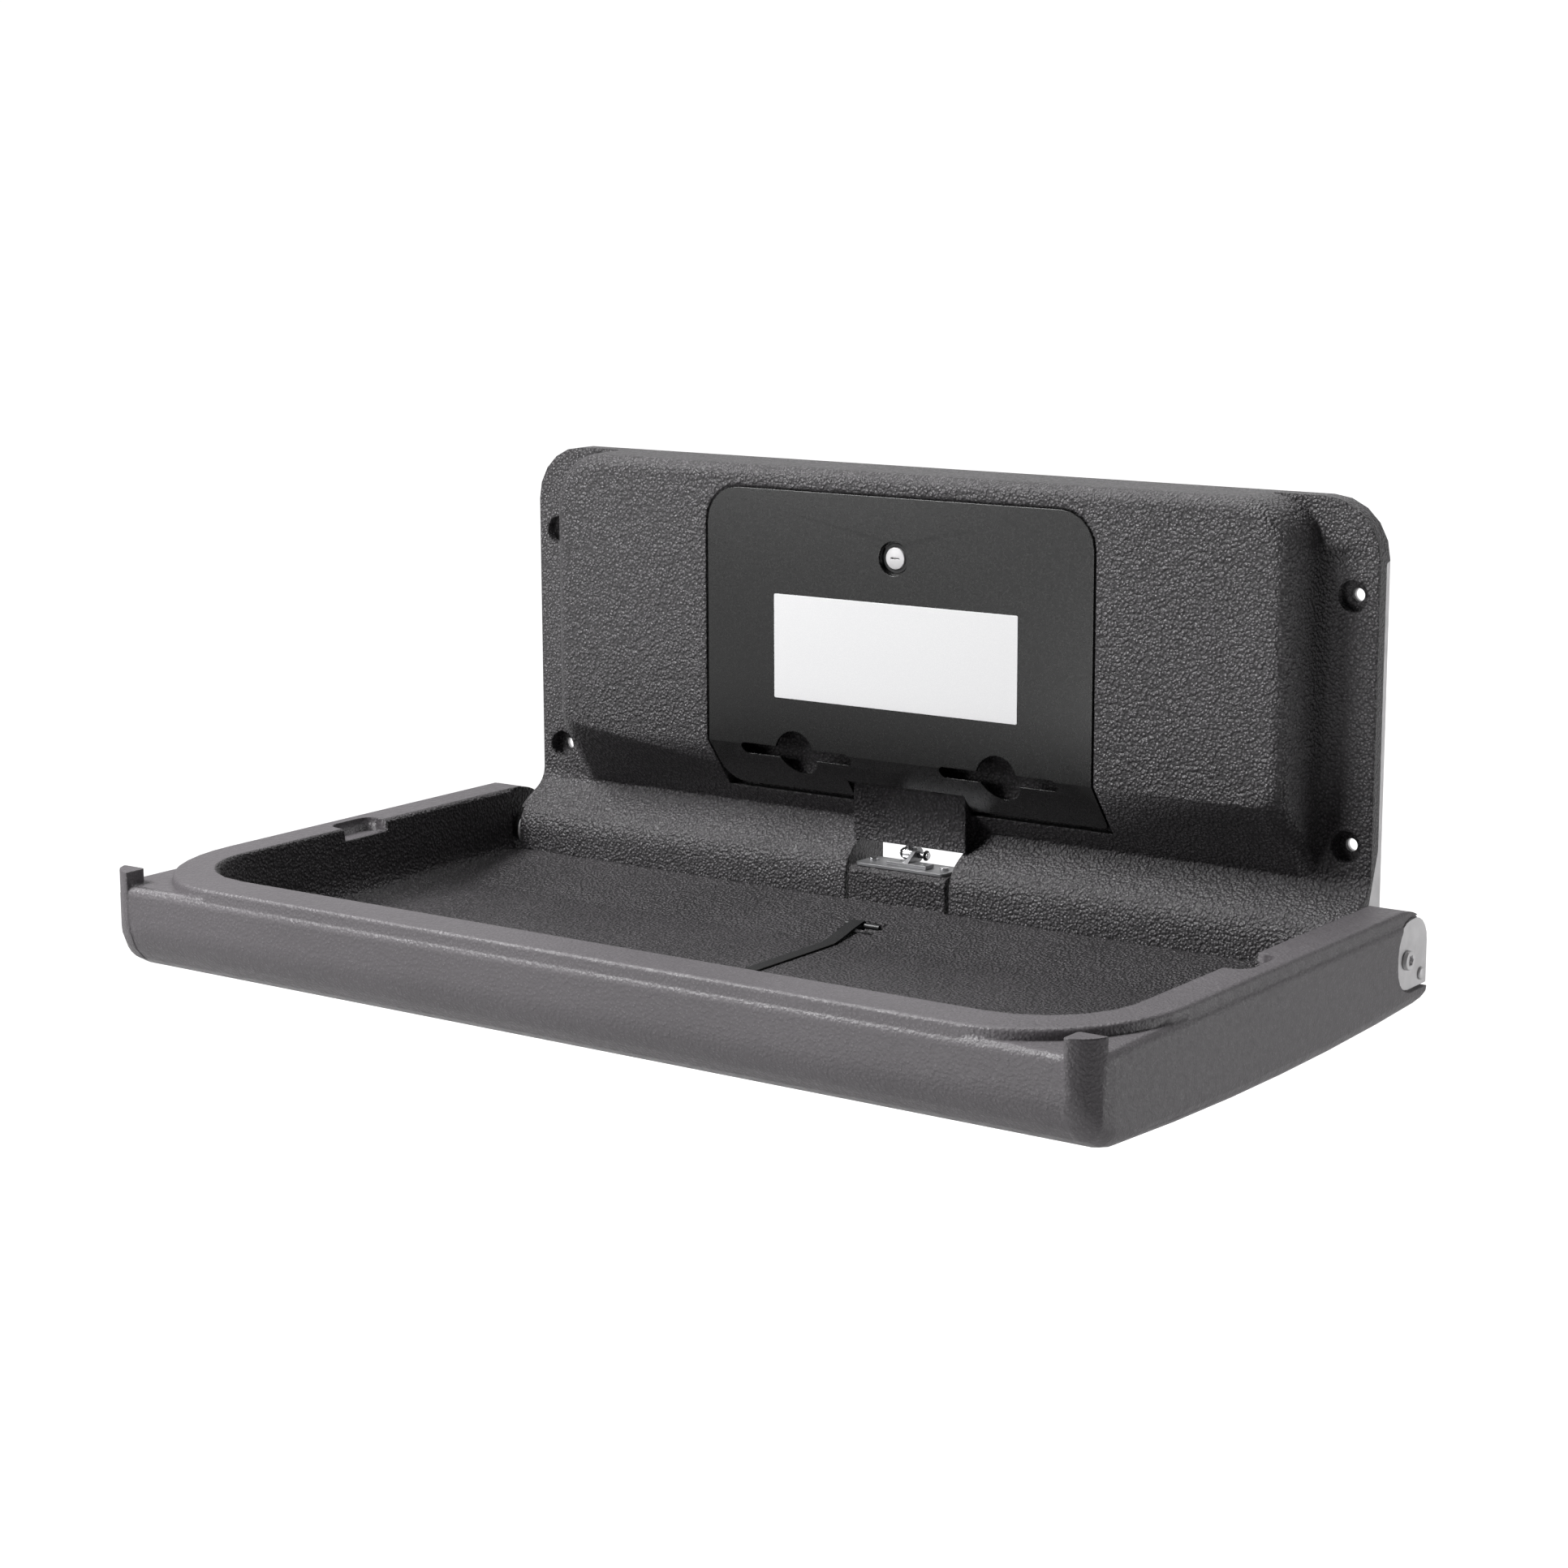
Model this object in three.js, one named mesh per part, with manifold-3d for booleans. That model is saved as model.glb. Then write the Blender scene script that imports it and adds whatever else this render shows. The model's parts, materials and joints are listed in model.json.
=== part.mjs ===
// Horizontal wall-mounted baby changing station, in millimetres.
// X runs to the right, Y into the wall and Z up. The wall is the plane Y = 0, and the origin is
// the centre of the four wall screw holes on that plane. The tray is modelled folded down, in use.
// Sizes named depth, front or rear are distances out from the wall, so they lie at minus Y.

import * as THREE from 'three';
import { mergeVertices } from 'three/addons/utils/BufferGeometryUtils.js';
import Module from 'manifold-3d';

const wasm = await Module();
wasm.setup();

// Clearances, and how far a cutting shape runs past the face that it cuts

const seatGap = 0.3;
const runningGap = 0.5;
const overrun = 6;
const weldTolerance = 0.0001;

// Facet counts

const cornerSteps = 5;
const boreSides = 20;
const pinSides = 20;

// Wall unit

const flange = { halfWidth: 429, top: 180, depth: 18, cornerRadius: 50, foot: 100 };
const screwHoles = { inset: 22.6, pitchZ: 203.2, bore: 11, counterbore: 26.5, floor: 8 };
const skin = 4;
const box = {
  inset: 48,
  draft: 9,
  depth: 66,
  edgeRadius: 12,
  cornerRadius: 48,
  footCornerRadius: 16,
  fold: -68,
  underDepth: 24,
  underFoot: -124,
};
const roll = {
  valley: -136,
  shoulder: -160,
  depth: 59.5,
  foot: -215,
  valleyRadius: 22,
  shoulderRadius: 30,
  footRadius: 20,
  endWall: 10,
};
const block = { halfWidth: 58, depth: 40, top: -97, foot: -146 };
const window = { halfWidth: 54 };

// Steel back frame: a leg behind each end of the flange, an ear beside the roll, a rail between

const sheet = 3;
const leg = { width: 34, top: 129, lipDepth: 6, flare: -104, tipRadius: 3 };
const rail = { halfHeight: 20 };
const pivot = { depth: 43, height: -180.5 };
const ear = { radius: 16, shoulderDepth: 27, neckDepth: 26 };
const pivotBolt = { radius: 5, headRadius: 8, head: 3.6, nutRadius: 9, nut: 7 };
const bushing = { wall: 2.6, flangeRadius: 13 };

// Tray

const tray = {
  overhang: 47.5,
  depth: 535,
  rim: -141,
  edgeRadius: 4,
  cornerRadius: 29,
  shelfRadius: 8,
  rimInset: 2,
  rimDraft: 1.6,
  rimCornerX: 110,
  rimCornerY: 136,
  rimStep: 8.5,
  rimBase: 18.5,
  footRadius: 42,
  sideFootRadius: 18,
  belly: -231,
  bellyDepth: 240,
  bowSpan: 292,
  bowRise: 10.3,
  rear: 61,
  rearRadius: 38.5,
};
const bed = {
  sideWall: 39,
  frontWall: 47,
  cornerRadius: 80,
  draft: 4,
  cove: 30,
  floor: -212,
  rearFloor: -196,
  rampDepth: 153,
  lipRadius: 3,
};
const hingePlate = {
  inset: 2.5,
  front: 61.5,
  rear: 6.3,
  top: -149,
  foot: -205.5,
  backRadius: 22,
  noseRadius: 26,
};
const plateRecess = { gap: 1.8 };
const rearLip = { depth: 9, top: -206, foot: -217.5, radius: 4 };
const stopStud = { depth: 17, height: -196.3, radius: 4, headRadius: 5.2, head: 2.3 };
const hookNotch = { front: 286, rear: 230, reach: 22, depth: 12, radius: 14 };
const cornerPost = { width: 25, depth: 22, rise: 3.5, innerRadius: 3, proud: 0.8 };

// Tongue of the tray, and the steel that stands on it

const tongue = { halfWidth: 50, depth: 60, wall: 11, top: -166, shelf: 5, rear: 22, noseRadius: 6 };
const basePlate = { halfWidth: 46, front: 56, rear: 24, thickness: 2.5, corner: 4 };
const lug = { left: 1, thickness: 4, footLeft: 17, footRight: 24, front: 50, rear: 37, foot: 3, ring: 6.5 };
const lowerPin = { behind: 12, above: 25.5, radius: 3, left: 14, right: 15 };
const clip = { radius: 4.6, width: 1.6, inset: 0.8 };
const plateScrew = { offset: 37, headRadius: 4, head: 2, radius: 2 };

// Damper in the wall unit

const upperPin = { depth: 20, height: 60, radius: 3, halfLength: 16 };
const damper = { radius: 7, wall: 1.6, foot: 67, eyeRadius: 6, eyeWidth: 8, guide: 7, guideFace: 1 };
const rod = { radius: 4, eyeRadius: 6, eyeLength: 9, piston: 6, reach: 128 };
const cheek = {
  inner: 9.5,
  thickness: 2.5,
  footReach: 16,
  front: 30,
  top: 74,
  foot: -18,
  slotFront: 24,
  slotRear: 7,
  slotFoot: 55.5,
  slotTop: 67.5,
};

// Liner door, its hinge and its lock

const door = {
  halfWidth: 197,
  top: 160,
  foot: -109,
  wall: 3,
  gap: 2.5,
  topRadius: 32,
  footLeftRadius: 18,
  footRightRadius: 5,
  notchHalfWidth: 60.5,
  notchTop: -94,
  ledge: 6,
};
const slot = { margin: 33.8, halfLength: 58.7, height: 10.5, centre: -72, thumb: 20.5 };
const pocket = { inset: 6, top: 168, foot: -113.6, room: 24.5, wall: 3.5, shellFoot: -97 };
const doorHinge = {
  inset: 6.7,
  height: -103.5,
  pinRadius: 2,
  knuckleRadius: 4,
  knuckle: 16,
  bossRadius: 5.2,
  boss: 14,
  sweep: 10,
  sweepTop: -101,
};
const label = { halfWidth: 125, top: 69, foot: -23, thickness: 0.4 };
const lock = {
  height: 108,
  cupRadius: 15,
  cupWall: 2.5,
  cupDepth: 5.5,
  cupFloor: 2.5,
  bodyRadius: 11,
  rimRadius: 13,
  rim: 1,
  body: 9,
  plugRadius: 9.5,
  plugProud: 1.6,
  keySlot: 9,
  keyWidth: 1.5,
  keyDepth: 3,
  nutRadius: 15,
  nut: 3.2,
  tailRadius: 4,
};
const cam = { reach: 54, width: 14, thickness: 2, tip: 5 };
const keeper = { halfWidth: 12, foot: 155.5, top: 165, gap: 0.7 };
const camScrew = { headRadius: 5, head: 2 };

// Restraint strap

const strap = { halfWidth: 6.5, thickness: 1.4, lift: 0.5, offset: -5, rearRun: 4, frontRun: 36 };
const anchor = {
  radius: 2.5,
  halfWidth: 18,
  rearInset: 50,
  frontInset: 22,
  rearHeight: -203.5,
  frontHeight: -206.5,
};
const anchorRecess = { reach: 13, depth: 8.5, radius: 5 };
const buckle = {
  inset: 41,
  socket: 23,
  tongue: 20,
  halfWidth: 13,
  height: 6,
  prong: 8,
  prongThickness: 2.4,
};

// Places that follow from the sizes above

const screwX = flange.halfWidth - screwHoles.inset;
const boxHalfWidth = flange.halfWidth - box.inset;
const pocketHalfWidth = door.halfWidth - pocket.inset;
const pocketBack = box.depth - pocket.room;
const doorHingeFace = door.halfWidth + door.gap;
const slotOffset = door.halfWidth - slot.margin - slot.halfLength;
const trayHalfWidth = flange.halfWidth + tray.overhang;
const bedHalfWidth = trayHalfWidth - bed.sideWall;
const bedDepth = tray.depth - bed.frontWall;
const plateFace = trayHalfWidth - hingePlate.inset;
const rearAnchor = { depth: tray.rear + anchor.rearInset, height: anchor.rearHeight };
const frontAnchor = { depth: bedDepth - anchor.frontInset, height: anchor.frontHeight };
const socketFront = bedDepth - buckle.inset;
const buckleSplit = socketFront - buckle.socket;
const buckleRear = buckleSplit - buckle.tongue;

// Finishes, by the class of material that the piece is made of

const finish = {
  moulding: { color: 0x4a484b, roughness: 0.62, metalness: 0 },
  door: { color: 0x1b1b1d, roughness: 0.35, metalness: 0 },
  label: { color: 0xf2f2f2, roughness: 0.5, metalness: 0 },
  steel: { color: 0xc9c7ca, roughness: 0.42, metalness: 0.7 },
  bright: { color: 0xd8d8da, roughness: 0.22, metalness: 1 },
  black: { color: 0x151516, roughness: 0.4, metalness: 0.2 },
  webbing: { color: 0x18181a, roughness: 0.85, metalness: 0 },
  nylon: { color: 0x232324, roughness: 0.55, metalness: 0 },
};

// Geometry helpers

/** Position and index only, shared vertices merged and collapsed triangles dropped. */
function weld(geometry) {
  const bare = new THREE.BufferGeometry();
  bare.setAttribute('position', geometry.getAttribute('position').clone());
  if (geometry.index) bare.setIndex(geometry.index.clone());
  const merged = mergeVertices(bare, weldTolerance);
  const kept = [];
  const index = merged.index.array;
  for (let i = 0; i < index.length; i += 3) {
    const [a, b, c] = [index[i], index[i + 1], index[i + 2]];
    if (a !== b && b !== c && c !== a) kept.push(a, b, c);
  }
  merged.setIndex(kept);
  return merged;
}

function solid(geometry) {
  const merged = weld(geometry);
  const mesh = new wasm.Mesh({
    numProp: 3,
    vertProperties: new Float32Array(merged.getAttribute('position').array),
    triVerts: new Uint32Array(merged.index.array),
  });
  return new wasm.Manifold(mesh);
}

function geometryOf(manifold) {
  const mesh = manifold.getMesh();
  const geometry = new THREE.BufferGeometry();
  geometry.setAttribute('position', new THREE.BufferAttribute(new Float32Array(mesh.vertProperties), 3));
  geometry.setIndex(new THREE.BufferAttribute(new Uint32Array(mesh.triVerts), 1));
  return geometry;
}

const join = (first, ...rest) => rest.reduce((sum, part) => sum.add(part), first);
const cut = (first, ...rest) => rest.reduce((left, tool) => left.subtract(tool), first);

/** The same geometry on the other side of the plane X = 0, with its faces turned back out. */
function mirrored(geometry) {
  const flipped = weld(geometry);
  flipped.applyMatrix4(new THREE.Matrix4().makeScale(-1, 1, 1));
  const index = flipped.index.array;
  for (let i = 0; i < index.length; i += 3) {
    const held = index[i];
    index[i] = index[i + 1];
    index[i + 1] = held;
  }
  return flipped;
}

/** Points of a polygon whose corners [x, y, radius] are rounded, each limited by its sides. */
function filleted(corners, steps = cornerSteps) {
  const points = [];
  corners.forEach(([x, y, radius], i) => {
    const corner = new THREE.Vector2(x, y);
    if (!radius) {
      points.push(corner);
      return;
    }
    const [bx, by] = corners[(i + corners.length - 1) % corners.length];
    const [ax, ay] = corners[(i + 1) % corners.length];
    const before = new THREE.Vector2(bx, by).sub(corner);
    const after = new THREE.Vector2(ax, ay).sub(corner);
    const room = Math.min(before.length(), after.length()) / 2;
    before.normalize();
    after.normalize();
    const half = Math.acos(THREE.MathUtils.clamp(before.dot(after), -1, 1)) / 2;
    const run = Math.min(radius / Math.tan(half), room);
    const bend = run * Math.tan(half);
    const centre = before.clone().add(after).normalize().multiplyScalar(bend / Math.sin(half)).add(corner);
    const start = before.multiplyScalar(run).add(corner).sub(centre).angle();
    const end = after.multiplyScalar(run).add(corner).sub(centre).angle();
    const turn = THREE.MathUtils.euclideanModulo(end - start + Math.PI, Math.PI * 2) - Math.PI;
    for (let k = 0; k <= steps; k += 1) {
      const angle = start + (turn * k) / steps;
      points.push(new THREE.Vector2(Math.cos(angle), Math.sin(angle)).multiplyScalar(bend).add(centre));
    }
  });
  return points;
}

const axes = {
  x: [new THREE.Vector3(0, 1, 0), new THREE.Vector3(0, 0, 1), new THREE.Vector3(1, 0, 0)],
  y: [new THREE.Vector3(-1, 0, 0), new THREE.Vector3(0, 0, 1), new THREE.Vector3(0, 1, 0)],
  z: [new THREE.Vector3(1, 0, 0), new THREE.Vector3(0, 1, 0), new THREE.Vector3(0, 0, 1)],
};

/** Extrudes an outline along an axis, from one place on it to another. For x the outline holds
 * [y, z], for y it holds [x, z] and for z it holds [x, y]. */
function prism(axis, points, from, to) {
  const flat = axis === 'y' ? points.map((p) => new THREE.Vector2(-p.x, p.y)) : points;
  const geometry = new THREE.ExtrudeGeometry(new THREE.Shape(flat), {
    depth: to - from,
    bevelEnabled: false,
  });
  geometry.translate(0, 0, from);
  geometry.applyMatrix4(new THREE.Matrix4().makeBasis(...axes[axis]));
  return geometry;
}

/** A box between two opposite corners. */
function brick(x0, x1, y0, y1, z0, z1) {
  const geometry = new THREE.BoxGeometry(x1 - x0, y1 - y0, z1 - z0);
  geometry.translate((x0 + x1) / 2, (y0 + y1) / 2, (z0 + z1) / 2);
  return geometry;
}

/** A round bar along an axis. The two places are its centre across the axis, in X, Y, Z order. */
function bar(axis, radius, from, to, [a, b] = [0, 0], sides = pinSides) {
  const geometry = new THREE.CylinderGeometry(radius, radius, to - from, sides);
  const middle = (from + to) / 2;
  if (axis === 'x') geometry.rotateZ(-Math.PI / 2).translate(middle, a, b);
  if (axis === 'y') geometry.translate(a, middle, b);
  if (axis === 'z') geometry.rotateX(Math.PI / 2).translate(a, b, middle);
  return geometry;
}

/** A turned piece along X, from its [radius, place] profile. */
function turned(profile, sides = pinSides) {
  const geometry = new THREE.LatheGeometry(profile.map(([r, at]) => new THREE.Vector2(r, at)), sides);
  geometry.rotateZ(-Math.PI / 2);
  return geometry;
}

/** A closed skin through flat loops of as many points each, with flat ends square to an axis. */
function loft(loops, axis) {
  const count = loops[0].length;
  const positions = loops.flat().flatMap((p) => [p.x, p.y, p.z]);
  const index = [];
  for (let r = 0; r + 1 < loops.length; r += 1) {
    for (let i = 0; i < count; i += 1) {
      const a = r * count + i;
      const b = r * count + ((i + 1) % count);
      index.push(a, b, b + count, a, b + count, a + count);
    }
  }
  const across = (p) => (axis === 'y' ? new THREE.Vector2(p.x, p.z) : new THREE.Vector2(p.x, p.y));
  const flat = (loop) => loop.map(across);
  const last = (loops.length - 1) * count;
  THREE.ShapeUtils.triangulateShape(flat(loops[0]), []).forEach(([a, b, c]) => index.push(a, c, b));
  THREE.ShapeUtils.triangulateShape(flat(loops.at(-1)), []).forEach(([a, b, c]) => {
    index.push(last + a, last + b, last + c);
  });
  const geometry = new THREE.BufferGeometry();
  geometry.setAttribute('position', new THREE.Float32BufferAttribute(positions, 3));
  geometry.setIndex(index);
  return pointsOut(geometry) ? geometry : turnedOut(geometry);
}

function pointsOut(geometry) {
  const at = geometry.getAttribute('position');
  const index = geometry.index.array;
  const [a, b, c] = [new THREE.Vector3(), new THREE.Vector3(), new THREE.Vector3()];
  let volume = 0;
  for (let i = 0; i < index.length; i += 3) {
    a.fromBufferAttribute(at, index[i]);
    b.fromBufferAttribute(at, index[i + 1]);
    c.fromBufferAttribute(at, index[i + 2]);
    volume += a.dot(b.cross(c));
  }
  return volume > 0;
}

function turnedOut(geometry) {
  const index = geometry.index.array;
  for (let i = 0; i < index.length; i += 3) {
    const held = index[i];
    index[i] = index[i + 1];
    index[i + 1] = held;
  }
  return geometry;
}

/** Angles that divide a quarter turn. */
const quarterTurn = (steps) => Array.from({ length: steps + 1 }, (_, i) => (i / steps) * (Math.PI / 2));
const quarter = quarterTurn(cornerSteps);
const ellipseTurn = quarterTurn(cornerSteps * 2);

// Front surface of the raised box: upright above the fold, leaning back to the wall below it

const lean = Math.atan2(box.depth - box.underDepth, box.fold - box.underFoot);

/** How far from the wall that surface lies at a height, when moved inwards by an inset. */
function faceDepth(height, inset) {
  const foldHeight = box.fold + inset * Math.tan(lean / 2);
  return box.depth - inset - Math.max(0, foldHeight - height) * Math.tan(lean);
}

const doorHingeDepth = faceDepth(doorHinge.height, doorHinge.inset);

/** Its outline in [y, z] between two heights. */
function faceLine(inset, top, foot) {
  const fold = box.fold + inset * Math.tan(lean / 2);
  return [
    [-faceDepth(top, inset), top],
    [-faceDepth(fold, inset), fold],
    [-faceDepth(foot, inset), foot],
  ];
}

// Wall housing

/** Loop of the raised box at a depth from the wall; inset moves its sides, top and foot inwards. */
function boxLoop(depth, inset, wall) {
  const draft = (box.draft * (depth - flange.depth)) / (box.depth - flange.depth);
  const halfWidth = boxHalfWidth - draft - inset - wall;
  const top = flange.top - inset - wall;
  const behind = (box.depth - wall - depth) / Math.tan(lean);
  const foot = box.fold + wall * Math.tan(lean / 2) - behind;
  const corner = box.cornerRadius - inset - wall;
  return filleted([
    [-halfWidth, foot, box.footCornerRadius],
    [halfWidth, foot, box.footCornerRadius],
    [halfWidth, top, corner],
    [-halfWidth, top, corner],
  ]).map((p) => new THREE.Vector3(p.x, -depth, p.y));
}

/** The raised box as a solid that reaches from a depth near the wall to its rounded front. */
function boxForm(from, wall) {
  const radius = box.edgeRadius - wall;
  const face = box.depth - wall;
  const loops = [boxLoop(from, 0, wall)];
  quarter.forEach((angle) => {
    loops.push(boxLoop(face - radius + radius * Math.sin(angle), radius * (1 - Math.cos(angle)), wall));
  });
  return solid(loft(loops, 'y'));
}

/** Outline of the valley and the hinge roll in [y, z], moved inwards by an inset. */
function rollOutline(inset, back) {
  const slope = Math.atan2(roll.valley - roll.shoulder, roll.depth - flange.depth);
  const drop = inset * (1 / Math.cos(slope) - Math.tan(slope));
  return filleted([
    [back, -flange.foot],
    [-flange.depth + inset, -flange.foot],
    [-flange.depth + inset, roll.valley - drop, roll.valleyRadius + inset],
    [-roll.depth + inset, roll.shoulder - drop, roll.shoulderRadius - inset],
    [-roll.depth + inset, roll.foot + inset, roll.footRadius - inset],
    [back, roll.foot + inset],
  ]);
}

const rollEnd = flange.halfWidth - sheet - seatGap;

/** Outline of the door in [x, z], grown by a gap. */
function doorOutline(grow) {
  const halfWidth = door.halfWidth + grow;
  return filleted([
    [-halfWidth, door.foot - grow, door.footLeftRadius],
    [halfWidth, door.foot - grow, door.footRightRadius],
    [halfWidth, door.top + grow, door.topRadius + grow],
    [-halfWidth, door.top + grow, door.topRadius + grow],
  ]);
}

/** Everything in front of the box's front surface moved inwards by an inset. */
function inFront(inset) {
  const top = door.top + door.gap + overrun;
  const foot = pocket.foot - overrun;
  const line = faceLine(inset, top, foot);
  const out = -(box.depth + overrun);
  const points = [[out, foot], [out, top], ...line].map(([y, z]) => new THREE.Vector2(y, z));
  return solid(prism('x', points, -boxHalfWidth, boxHalfWidth));
}

function flangePlate() {
  const { halfWidth, top, cornerRadius, foot, depth } = flange;
  const outline = filleted([
    [-halfWidth, -foot - overrun, 0],
    [halfWidth, -foot - overrun, 0],
    [halfWidth, top, cornerRadius],
    [-halfWidth, top, cornerRadius],
  ]);
  return solid(prism('y', outline, -depth, 0));
}

/** Places of the four wall screws. */
const screwPlaces = [-1, 1].flatMap((sx) => [-1, 1].map((sz) => [
  sx * screwX,
  (sz * screwHoles.pitchZ) / 2,
]));

/** Outline in [y, z] of the steel side plate of a leg and its ear, grown by a gap. */
function sidePlateOutline(grow) {
  const { radius, neckDepth, shoulderDepth } = ear;
  const shoulder = stopStud.height + stopStud.radius + seatGap;
  return filleted([
    [grow ? overrun : 0, leg.top + grow, 0],
    [-leg.lipDepth - grow, leg.top + grow, leg.tipRadius],
    [-leg.lipDepth - grow, leg.flare + grow, neckDepth - grow],
    [-neckDepth - grow, pivot.height + radius + grow, neckDepth - grow],
    [-pivot.depth - radius - grow, pivot.height + radius + grow, radius + grow],
    [-pivot.depth - radius - grow, pivot.height - radius - grow, radius + grow],
    [-shoulderDepth + grow, pivot.height - radius - grow, radius / 2 + grow],
    [-shoulderDepth + grow, shoulder - grow, 0],
    [grow ? overrun : 0, shoulder - grow, 0],
  ]);
}

function wallHousing() {
  const outer = join(
    flangePlate(),
    boxForm(flange.depth / 2, 0),
    solid(prism('x', rollOutline(0, 0), -flange.halfWidth, flange.halfWidth)),
    solid(brick(-block.halfWidth, block.halfWidth, -block.depth, -flange.depth / 2, block.foot, block.top)),
  );

  const boxHollow = boxForm(-overrun, skin);
  const pocketShell = solid(brick(
    -pocketHalfWidth - pocket.wall,
    pocketHalfWidth + pocket.wall,
    -box.depth,
    -pocketBack + pocket.wall,
    pocket.shellFoot,
    pocket.top + pocket.wall,
  ));
  const bayBack = -doorHingeDepth + doorHinge.sweep;
  const bayShell = solid(brick(
    -doorHingeFace - pocket.wall,
    doorHingeFace + pocket.wall,
    -box.depth,
    bayBack + pocket.wall,
    pocket.foot - pocket.wall,
    pocket.shellFoot + pocket.wall,
  ));
  const screwBosses = screwPlaces.map((place) => solid(
    bar('y', screwHoles.counterbore / 2 + skin, -flange.depth, 0, place, boreSides),
  ));
  const rollHollows = [-1, 1].map((side) => {
    const near = window.halfWidth + skin;
    const far = rollEnd - roll.endWall;
    const ends = side > 0 ? [near, far] : [-far, -near];
    return cut(solid(prism('x', rollOutline(skin, overrun), ...ends)), ...screwBosses);
  });
  const behindBlock = solid(brick(
    -window.halfWidth,
    window.halfWidth,
    -block.depth + skin,
    overrun,
    block.foot - overrun,
    block.top + overrun,
  ));
  const windowHole = solid(brick(
    -window.halfWidth,
    window.halfWidth,
    -roll.depth - overrun,
    overrun,
    roll.foot - overrun,
    block.foot,
  ));

  const pocketHollow = solid(brick(
    -pocketHalfWidth,
    pocketHalfWidth,
    -box.depth + door.wall + seatGap + skin,
    -pocketBack,
    pocket.shellFoot + pocket.wall,
    pocket.top,
  ));
  const inBlock = solid(brick(-block.halfWidth, block.halfWidth, -block.depth, 0, -flange.top, block.top));
  const doorSeat = solid(prism('y', doorOutline(door.gap), -box.depth - overrun, 0))
    .intersect(inFront(door.wall + seatGap))
    .subtract(inBlock);
  const opening = cut(
    solid(prism('y', doorOutline(-door.ledge), -box.depth - overrun, -pocketBack)),
    solid(brick(-boxHalfWidth, boxHalfWidth, -box.depth, 0, -flange.top, pocket.shellFoot + pocket.wall)),
  );
  const hingeBay = cut(
    solid(brick(-doorHingeFace, doorHingeFace, -box.depth, bayBack, pocket.foot, pocket.shellFoot)),
    inBlock,
  );
  const hingeAxis = [-doorHingeDepth, doorHinge.height];
  const footSweep = cut(
    solid(bar('x', doorHinge.sweep, -doorHingeFace, doorHingeFace, hingeAxis, boreSides * 2)),
    solid(brick(-boxHalfWidth, boxHalfWidth, -box.depth, 0, doorHinge.sweepTop, door.top)),
    inBlock,
  );

  const bosses = [-1, 1].map((side) => {
    const ends = [doorHingeFace, doorHingeFace + doorHinge.boss].map((x) => side * x);
    return solid(brick(
      Math.min(...ends),
      Math.max(...ends),
      -doorHingeDepth - doorHinge.bossRadius,
      -doorHingeDepth + doorHinge.bossRadius,
      doorHinge.height - doorHinge.bossRadius,
      pocket.shellFoot,
    )).subtract(inFront(0));
  });

  const shell = cut(outer, cut(boxHollow, pocketShell, bayShell), ...rollHollows, behindBlock, windowHole);
  const housing = cut(join(shell, ...bosses), pocketHollow, doorSeat, opening, hingeBay, footSweep);

  const span = doorHinge.boss - skin;
  const pinBores = [-1, 1].map((side) => {
    const ends = [side * (doorHingeFace - overrun), side * (doorHingeFace + span)];
    const radius = doorHinge.pinRadius + seatGap;
    return solid(bar('x', radius, Math.min(...ends), Math.max(...ends), hingeAxis));
  });
  const { bore, counterbore, floor } = screwHoles;
  const screws = screwPlaces.map((place) => join(
    solid(bar('y', bore / 2, -flange.depth - overrun, overrun, place, boreSides)),
    solid(bar('y', counterbore / 2, -flange.depth - overrun, -floor, place, boreSides)),
  ));
  const steelSeats = [-1, 1].flatMap((side) => {
    const wide = side * (flange.halfWidth - leg.width - seatGap);
    const end = side * rollEnd;
    const out = side * (flange.halfWidth + overrun);
    return [
      solid(brick(
        Math.min(wide, out),
        Math.max(wide, out),
        -sheet - seatGap,
        overrun,
        roll.foot - overrun,
        leg.top + seatGap,
      )),
      solid(prism('x', sidePlateOutline(seatGap), Math.min(end, out), Math.max(end, out))),
      solid(brick(
        Math.min(end, out),
        Math.max(end, out),
        -roll.depth - overrun,
        overrun,
        roll.foot - overrun,
        roll.valley - roll.valleyRadius,
      )),
      solid(bar(
        'x',
        pivotBolt.radius + seatGap,
        Math.min(side * (rollEnd - roll.endWall - overrun), out),
        Math.max(side * (rollEnd - roll.endWall - overrun), out),
        [-pivot.depth, pivot.height],
      )),
    ];
  });
  const railSeat = solid(brick(
    -flange.halfWidth + leg.width,
    flange.halfWidth - leg.width,
    -sheet - seatGap,
    overrun,
    -rail.halfHeight - seatGap,
    rail.halfHeight + seatGap,
  ));
  return geometryOf(cut(housing, ...pinBores, ...screws, ...steelSeats, railSeat));
}

// Steel back frame

function hingeBracket() {
  const inner = flange.halfWidth - leg.width;
  const foot = stopStud.height + stopStud.radius;
  const plateBack = solid(brick(inner, flange.halfWidth, -sheet, 0, foot, leg.top));
  const side = solid(prism('x', sidePlateOutline(0), flange.halfWidth - sheet, flange.halfWidth));
  const screws = screwPlaces.filter(([x]) => x > 0).map(([x, z]) => solid(
    bar('y', screwHoles.bore / 2, -sheet - overrun, overrun, [x, z], boreSides),
  ));
  const bore = solid(bar(
    'x',
    pivotBolt.radius + seatGap,
    flange.halfWidth - sheet - overrun,
    flange.halfWidth + overrun,
    [-pivot.depth, pivot.height],
  ));
  return geometryOf(cut(join(plateBack, side), ...screws, bore));
}

function backRail() {
  const end = flange.halfWidth - leg.width - seatGap;
  return brick(-end, end, -sheet, 0, -rail.halfHeight, rail.halfHeight);
}

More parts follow.
